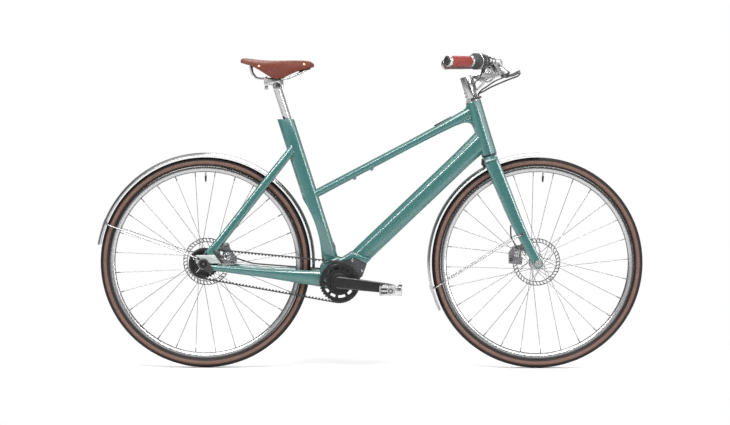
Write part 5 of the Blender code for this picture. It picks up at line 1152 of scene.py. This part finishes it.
# Cranks: forged and black anodised arms pressed on the gearbox's spindle, each with a sunk black bolt cover.
CRANK_WAY = heading(math.radians(-6.7))
CRANK_LENGTH = 170
crank_outline = [*arc((0, 0), 18.8, 90, 270, 28), (45, -18.7), (120, -17.2),
                 *arc((CRANK_LENGTH, 0), 15.2, -90, 90, 16), (120, 17.2), (45, 18.7)]
for name, side in (("left", 1), ("right", -1)):
    along = CRANK_WAY * -side
    arm = plate("crank_" + name, crank_outline, *sorted((side * 64, side * 80)), BRACKET, along,
                along.cross(Y_AXIS), 3, 3)
    cut_away(arm, rod(BRACKET + along * CRANK_LENGTH / 1000, side * 70, side * 172, 5, 32), "UNION")
    if side > 0:
        cut_away(arm, rod(BRACKET, -79.7, 72, 11, 48), "UNION")
    else:
        cut_away(arm, rod(BRACKET, -200, 0, SPINDLE_BORE, 48))
    cut_away(arm, rod(BRACKET, side * 77.6, side * 90, 11.8, 48))
    crank_surface = Finish("crank_lacquer_" + name, "black_anodised", colour(20, 20, 21), 0.36, 0.1,
                  {"Specular IOR Level": 0.4})
    # A painted highlight: a patchy light grey line along both long edges of each arm stands in for the light that their
    # rounded edges catch.
    off_middle = distance_along(crank_surface, BRACKET, along.cross(Y_AXIS)).math("ABSOLUTE")
    painted_edge_highlight = (off_middle + distance_along(crank_surface, BRACKET, along) * 0.0135).rise(0.0157, 0.0172)
    painted_edge_highlight = painted_edge_highlight * crank_surface.noise(40.0, 3.0).rise(0.25, 0.60)
    crank_surface.paint(crank_surface.mix(painted_edge_highlight, crank_surface.base, colour(104, 104, 106)), crank_surface.noise(60.0, 3.0) * 0.14 + 0.30)
    finish_piece(arm, "crankset_body", crank_surface.grain(700, 3, 0.0001, 0.3), "crank_arm_" + name, 38)
    cap = lathe("crank_cap_" + name, [(0, 77), (11.3, 77), (11.3, 78.4), (10.4, 79), (5.2, 79), (4.8, 78.4),
                                      (4.8, 77.8), (0, 77.8)], BRACKET, 48, Y_AXIS * side)
    finish_piece(cap, "crankset_body", moulded)


# Pedals: an aluminium cage with end plates on a cartridge spindle, and rubber treads screwed on it.
TREAD_LENGTH = 0.068
TREAD_RIBS = 12
cage_metal = Finish("pedal_cage", "satin_metal", (0.50, 0.50, 0.50, 1.0), 0.32, 0.6).vary(0.10, 45, 0.12)
cage_metal.grain(800, 3, 0.0001, 0.35)
tread_rubber = Finish("tread_rubber", "black_rubber", colour(40, 39, 39), 0.72).vary(0.18, 80, 0.10)
tread_rubber.grain(1000, 3, 0.0003, 0.6)


def refine(node, name, edge, steps=2, angle=30):
    """A copy of a CAD solid, with its flat faces merged and its edges rounded."""
    cad[node].hide_viewport = False
    activate(cad[node])
    bpy.ops.object.duplicate()
    piece = bpy.context.object
    piece.name = name
    bpy.ops.object.parent_clear(type="CLEAR_KEEP_TRANSFORM")
    bpy.ops.object.transform_apply(location=True, rotation=True, scale=True)
    bpy.ops.object.mode_set(mode="EDIT")
    weld(0.00001)
    bpy.ops.mesh.dissolve_limited(angle_limit=math.radians(2))
    bpy.ops.object.mode_set(mode="OBJECT")
    return round_edges(piece, edge, steps, angle)


for name, side in (("left", 1), ("right", -1)):
    body = "pedal_" + name + "_body"
    middle = BRACKET - CRANK_WAY * side * CRANK_LENGTH / 1000 + mm(0, side * 140, 0)
    face = middle + mm(0, side * 48, 0)
    cage = refine("pedal_" + name, "pedal_cage_" + name, 1.8, 3)
    for low in (-9, 2.8):
        cut_away(cage, plate("pedal_slot", box(-31, -10, low, low + 6.2), -4, 4, face, edge=1))
    inlay = plate("pedal_inlay", box(-32, -9, -10, 10), *sorted((-side * 2.2, -side * 5)), face)
    finish_piece(inlay, body, moulded)
    boss = [(0, -0.4), (4.2, -0.4), (4.8, 0.6), (7.8, 0.6), (8.4, 0), (8.4, -3), (0, -3)]
    finish_piece(lathe("pedal_boss", [(r, side * y) for r, y in boss], face, 40), body, casting)
    lug = plate("pedal_lug", box(15, 33.5, -11.8, 11.8), *sorted((side * 0.8, side * -3)), face, edge=0.7)
    finish_piece(lug, body, steel_bright)
    finish_piece(cage, body, cage_metal, "pedal_" + name)
    for ahead in (-0.0310, 0.0310):
        deselect()
        bpy.ops.mesh.primitive_cube_add(size=1.0, location=middle + X_AXIS * ahead,
                                        scale=(0.0085, TREAD_LENGTH, 0.0315))
        tread = bpy.context.object
        tread.name = "pedal_tread_" + name
        bpy.ops.object.transform_apply(location=True, rotation=True, scale=True)
        bpy.ops.object.mode_set(mode="EDIT")
        first_end = middle.y - TREAD_LENGTH / 2
        for number in range(1, TREAD_RIBS):
            pick_all()
            bpy.ops.mesh.bisect(plane_co=(0, first_end + TREAD_LENGTH * number / TREAD_RIBS, 0), plane_no=(0, 1, 0))
        bpy.ops.mesh.select_mode(type="FACE")
        bpy.ops.mesh.select_all(action="DESELECT")
        shape = bmesh.from_edit_mesh(tread.data)
        for patch in shape.faces:
            spot = patch.calc_center_median()
            number = int((spot.y - first_end) / (TREAD_LENGTH / TREAD_RIBS))
            if abs(spot.z - middle.z) > 0.0157 and number % 2 == 0:
                patch.select_set(True)
        bmesh.update_edit_mesh(tread.data)
        bpy.ops.mesh.inset(thickness=0.0004, depth=-0.0012)
        finish_piece(tread, body, tread_rubber)


# Brake levers: forged brackets clamped on the bar, each with a slim master cylinder and a curved blade.
lever_shine = polished("polished_lever", 0.36, 0.22)
for name, side in (("left", 1), ("right", -1)):
    tip, inward, reach = bar_end(side)
    bracket = refine("lever_bracket_" + name, "lever_perch_" + name, 1.2)
    finish_piece(bracket, "steering_body", lever_shine, "lever_bracket_" + name)
    blade = refine("brake_lever_" + name, "lever_blade_" + name, 2.2, 4)
    finish_piece(blade, "lever_" + name + "_body", lever_shine, "brake_lever_" + name)
    root, line = tip + inward * 0.185, mm(55, -side * 13, -41)
    for low, high, edge in ((0.86, 1.005, 1.0), (0.34, 0.44, 0.6)):
        band = cylinder(root + line * low, root + line * high, 8.9, 40)
        finish_piece(round_edges(band, edge), "steering_body", moulded)
    hinge = reach.cross(inward)
    pin_head = tip + inward * 0.183 + reach * 0.054 + hinge * 0.0096
    socket_bolt(pin_head, -hinge, 3.2, "steering_body", steel_bright, 2)


# Disc brakes: two-part callipers in cast aluminium on a post mount, with piston caps and black bolts.
calliper_metal = Finish("calliper_metal", "dark_casting", (0.22, 0.22, 0.23, 1.0), 0.33, 0.9).vary(0.25, 70, 0.14)
calliper_metal.grain(900, 4, 0.0002, 0.4)
FRONT_FOOT = [(-110, -40), (-20, -40), (-20, -10), (-60, -8), (-110, -2)]
for name, centre, body, near, far, window, caps, bolts in (
        ("front", FRONT_AXLE, "steering_body", 31.2, 57, (-44, 20, 30, 6.6), ((-65, 26, 10.5),),
         ((-64.5, 50, 5), (-83.7, 7.6, 5.2))),
        ("rear", REAR_AXLE, "frame", 44, 66, (49, 24, 30, 5), ((70, 18, 13.5), (65, 51.5, 8.8)),
         ((65, 51.5, 5.6), (54, 38, 4), (86, -4, 5)))):
    calliper = refine(name + "_caliper", name + "_calliper_body", 2.2, 3)
    x, low, high, radius = window
    capsule = [*arc((x, high), radius, 0, 180, 16), *arc((x, low), radius, 180, 360, 16)]
    cut_away(calliper, plate("calliper_window", capsule, 0, 100, centre))
    if name == "front":
        cut_away(calliper, plate("calliper_foot", FRONT_FOOT, 0, 100, centre))
    finish_piece(calliper, body, calliper_metal, name + "_caliper")
    for x, z, radius in caps:
        dish = ((0, -1.2), (0.55, -1.2), (0.62, -0.6), (0.86, -0.6), (0.94, -1.2), (1, -0.4), (1, 1.6), (0, 1.6))
        cap = lathe(name + "_piston_cap", [(radius * share, y) for share, y in dish], centre + mm(x, near, z), 40)
        finish_piece(cap, body, steel_bright)
    for x, z, radius in bolts:
        socket_bolt(centre + mm(x, near - 2.6, z), Y_AXIS, radius, body, bearing_black, 6)
        socket_bolt(centre + mm(x, far + 2.2, z), -Y_AXIS, radius, body, bearing_black, 6)


# Right dropout: a machined aluminium plate that unbolts to let the belt in, with a black insert at the axle
# and a rubber seal in its gap.
dropout_metal = Finish("machined_plate", "satin_metal", (0.40, 0.43, 0.42, 1.0), 0.40, 0.4).vary(0.07, 60, 0.12)
dropout_metal.grain(600, 3, 0.0001, 0.35, (0.1, 1, 1))
dropout_right = plate("dropout_right_plate", DROPOUT_OUTLINE, -83.3, -71.3, REAR_AXLE, edge=1.2)
cut_away(dropout_right, rod(REAR_AXLE, -200, 0, AXLE_BORE, 32))
finish_piece(dropout_right, "frame", dropout_metal, "dropout_right")
insert = plate("axle_insert", [*arc((0, 0), 17.2, 23.8, 253.8, 36), *arc((24, -21), 8.5, -121, 39, 16)],
               -88.6, -83.4, REAR_AXLE, edge=1.4, steps=3)
cut_away(insert, rod(REAR_AXLE, -200, 0, 11.9, 48))
finish_piece(insert, "frame", moulded)
seal = [(29.6, 41.2), (37.6, 44), (65, 1.6), (56.8, 1.6), (36, 29)]
finish_piece(plate("plate_seal", seal, -84, -71.8, REAR_AXLE, edge=1.4), "frame", belt_rubber)
for x in (26, 40):
    socket_bolt(REAR_AXLE + mm(x, -84, 20), Y_AXIS, 2.8, "frame", steel_bright)


# Fenders: rolled and polished aluminium strips, curved across, with a hemmed edge on each side.
FENDER_RADIUS = 361
FENDER_HALF_WIDTH = 26
FENDER_CROWN = 8.5
SHEET = 1.6
fender_shine = polished("polished_fender", 0.42, 0.18, (1, 0.15, 1))
for name, centre, start, end, body in (("rear", REAR_AXLE, -2.5, 170.5, "frame"),
                                       ("front", FRONT_AXLE, 89.0, 206.0, "steering_body")):
    crown_line = [(FENDER_RADIUS - FENDER_CROWN * (y / FENDER_HALF_WIDTH) ** 2, y) for y in
                  (-26, -23.5, -20, -15, -10, -5, 0, 5, 10, 15, 20, 23.5, 26)]
    profile = crown_line + [(r - SHEET, y) for r, y in reversed(crown_line)]
    strip = start_piece(name + "_fender_strip")
    outward = heading(math.radians(start))
    draw_line([centre + (outward * r + Y_AXIS * y) / 1000 for r, y in profile + profile[:1]])
    weld(0.000001)
    bpy.ops.mesh.edge_face_add()
    bpy.ops.mesh.spin(steps=round((end - start) / 2.0), angle=math.radians(end - start), center=centre, axis=Y_AXIS)
    weld(0.000001)
    finish_piece(round_edges(close_piece(strip), 0.5, 2, 50), body, fender_shine, name + "_fender", 40)
bracket = plate("fender_bracket", [(-7.5, -29.5), (0, -29.5), (0, -2), (-5, -2), (-12, -19.5)], -8, 8,
                steer(FORK_LENGTH, -0.0228), AHEAD, UP, 1.2)
finish_piece(bracket, "steering_body", moulded)


# Fender stays: one bent stainless wire each, whose two legs meet in a small black bracket on the fender.
WIRE_RADIUS = 2.0
CROWN_REACH = FENDER_RADIUS - SHEET - WIRE_RADIUS - 0.9
wire_steel = Finish("stainless_wire", "satin_metal", (0.34, 0.34, 0.35, 1.0), 0.24, 1.0).vary(0.12, 80, 0.12)
for name, centre, degrees, foot, body in (
        ("rear", REAR_AXLE, 158.6, REAR_AXLE + mm(-16.5, 87.6, 17.4), "frame"),
        ("front", FRONT_AXLE, 193.6, FRONT_AXLE + mm(-52, 63.9, 97), "steering_body")):
    outward = heading(math.radians(degrees))
    left = [centre + (outward * (CROWN_REACH - drop) + Y_AXIS * y) / 1000
            for y, drop in ((32, 13.6), (25, 9), (14, 5), (0, 0))]
    right = [Vector((point.x, -point.y, point.z)) for point in left[2::-1]]
    other = Vector((foot.x, -foot.y, foot.z))
    bends = [foot.lerp(left[0], 0.97), *left, *right, other.lerp(right[-1], 0.97)]
    sleeve_along(name + "_wire", [foot, *smooth_route(bends, 0.003), other], WIRE_RADIUS / 1000, 3)
    bpy.ops.object.convert(target="MESH")
    wire = bpy.context.object
    eyelet = [(2.2, -1.7), (5.2, -1.7), (5.5, -1), (5.5, 1), (5.2, 1.7), (2.2, 1.7)]
    join_pieces(wire, [lathe("eyelet", eyelet, end, 32) for end in (foot, other)])
    finish_piece(wire, body, wire_steel, name + "_fender_stay", 60)
    clip = plate(name + "_wire_clip", [(-10, -12), (10, -12), (7.5, 12), (-7.5, 12)], 0, 1.8,
                 centre + outward * (FENDER_RADIUS - 0.2) / 1000, Y_AXIS, Y_AXIS.cross(-outward), 0.6)
    finish_piece(clip, body, moulded)
    for side, end in ((-1, other), (1, foot)):
        socket_bolt(end + Y_AXIS * side * 0.0032, -Y_AXIS * side, 3.8, body, bearing_black, 3.2)


# Seatpost: a drawn and polished aluminium tube with a turned head for the saddle's clamp.
POST_RISE = 111
post_head = SEAT_TOP + SEAT_UP * POST_RISE / 1000
post = rod(SEAT_TOP, -130, POST_RISE - 4, 13.6, 64, SEAT_UP)
cut_away(post, rod(post_head, -21, 21, 13, 64), "UNION")
finish_piece(round_edges(post, 0.8), "seatpost_body", polished("polished_post", 0.42, 0.16, (1, 1, 0.1)), "seatpost")


# Saddle clamp: two aluminium halves that grip the rails, drawn together by two upright bolts.
clamp = refine("saddle_clamp", "saddle_cradle", 1.2)
finish_piece(clamp, "saddle_body", polished("polished_cradle", 0.58, 0.20), "saddle_clamp")
for x in (-34.5, 15):
    finish_piece(rod(post_head + mm(x, 0, 0), -7.5, 33, 3, 24, Z_AXIS), "saddle_body", steel_bright)
    nut = rod(post_head + mm(x, 0, 0), -11.5, 2.6, 5.8, 24, Z_AXIS)
    finish_piece(round_edges(nut, 0.8), "saddle_body", steel_bright)

# Saddle rails: two bent steel rods that meet in a tension bolt at the nose, with a plate behind.
rails = refine("saddle_rails", "rail_pair", 0.4, 1, 60)
finish_piece(rails, "saddle_body", polished("polished_rail", 0.40, 0.18), "saddle_rails", 60)
nose_bolt = cylinder(post_head + mm(72, 0, 50), post_head + mm(110, 0, 59), 3.5, 24)
finish_piece(nose_bolt, "saddle_body", bearing_black)


# Saddle top: one hide of thick vegetable-tanned leather, pressed to shape and riveted to a plate at the
# back and at the nose. A row is its place, its crown's height, its flaps' height and its half width.
SADDLE_ROWS = ((-115, 87, 79, 70), (-109, 91.5, 74, 84), (-84, 90, 67.5, 88), (-56, 86.6, 53, 73),
               (-20, 84.5, 30.5, 51), (0, 84.3, 24, 42), (25, 84.5, 31, 32), (63, 85.1, 48, 23),
               (101, 83.3, 58, 18), (118, 76.5, 62, 13), (122.2, 70.5, 66, 8))
HIDE_THICKNESS = 4.5
ARCH_STEPS = 24
ARCH_POWER = 2 / 2.8


def arch(row, inset):
    """A section of the hide's outer or inner face, from flap over the crown to flap."""
    along, top, low, half_width = row
    points = []
    for i in range(ARCH_STEPS + 1):
        turn = math.pi * (i / ARCH_STEPS - 0.5)
        y = math.copysign(abs(math.sin(turn)) ** ARCH_POWER, math.sin(turn))
        z = max(math.cos(turn), 0) ** ARCH_POWER
        points.append(post_head + mm(along, (half_width - inset) * y, low + (top - inset - low) * z))
    return points


saddle = start_piece("leather_top")
for row in smooth_rows(SADDLE_ROWS, 3):
    outer = arch(row, 0)
    draw_line([*outer, *arch(row, HIDE_THICKNESS)[::-1], outer[0]])
weld(0.000001)
round_edges(bridge_loops(saddle), 1.2, 3, 50)
hide = Finish("saddle_hide", "brown_leather", colour(84, 50, 43), 0.48, 0.0, {"Specular IOR Level": 0.12})
wear = hide.noise(26.0, 5.0, roughness=0.6)
# Painted light: the crown is lighter and the flanks below it darker, as light from above falls on the top.
height = hide.parts(hide.place())[2] - (post_head.z + 0.060)
tan = hide.mix(wear, colour(98, 52, 40), colour(122, 74, 61))
dark = hide.mix(wear, colour(90, 42, 34), colour(112, 60, 50))
hide.paint(hide.mix(height.rise(0.0, 0.024), dark, tan), wear * 0.16 + 0.38)
pores = hide.add("ShaderNodeTexVoronoi", inputs={"Vector": hide.place(), "Scale": 900.0})
hide.bump(pores * 0.5 + hide.noise(300.0, 4.0) * 0.5, 0.0004, 0.5)
finish_piece(saddle, "saddle_body", hide, "saddle_leather", 60)

# Copper rivets: eight small ones along the back and at the nose, and two larger ones low on each flank
rivet_metal = Finish("rivet_copper", "satin_metal", colour(214, 150, 120), 0.28, 0.9).vary(0.08, 400, 0.10)
for x, y, z in ((-106, 50, 86.8), (-106, -50, 86.8), (-108, 0, 91.4), (-107, 25, 90.8), (-107, -25, 90.8),
                (108, 0, 82.4), (99, 7.5, 82.8), (99, -7.5, 82.8)):
    rivet = lathe("hide_rivet", [(0, 1.4), (2.2, 1.1), (3.6, 0.4), (4.1, -1), (0, -1)], post_head + mm(x, y, z), 24,
                  Z_AXIS, X_AXIS)
    finish_piece(rivet, "saddle_body", rivet_metal)
for x, y, z, lean in ((-54.7, 71.4, 65.6, 0.461), (90, 17.8, 71.5, 0.287)):
    for side in (-1, 1):
        rivet = lathe("flank_rivet", [(0, 1.6), (2.4, 1.3), (4.2, 0.5), (4.7, -1.2), (0, -1.2)],
                      post_head + mm(x, side * y, z), 24, Vector((0, side * math.sqrt(1 - lean * lean), lean)), X_AXIS)
        finish_piece(rivet, "saddle_body", rivet_metal)
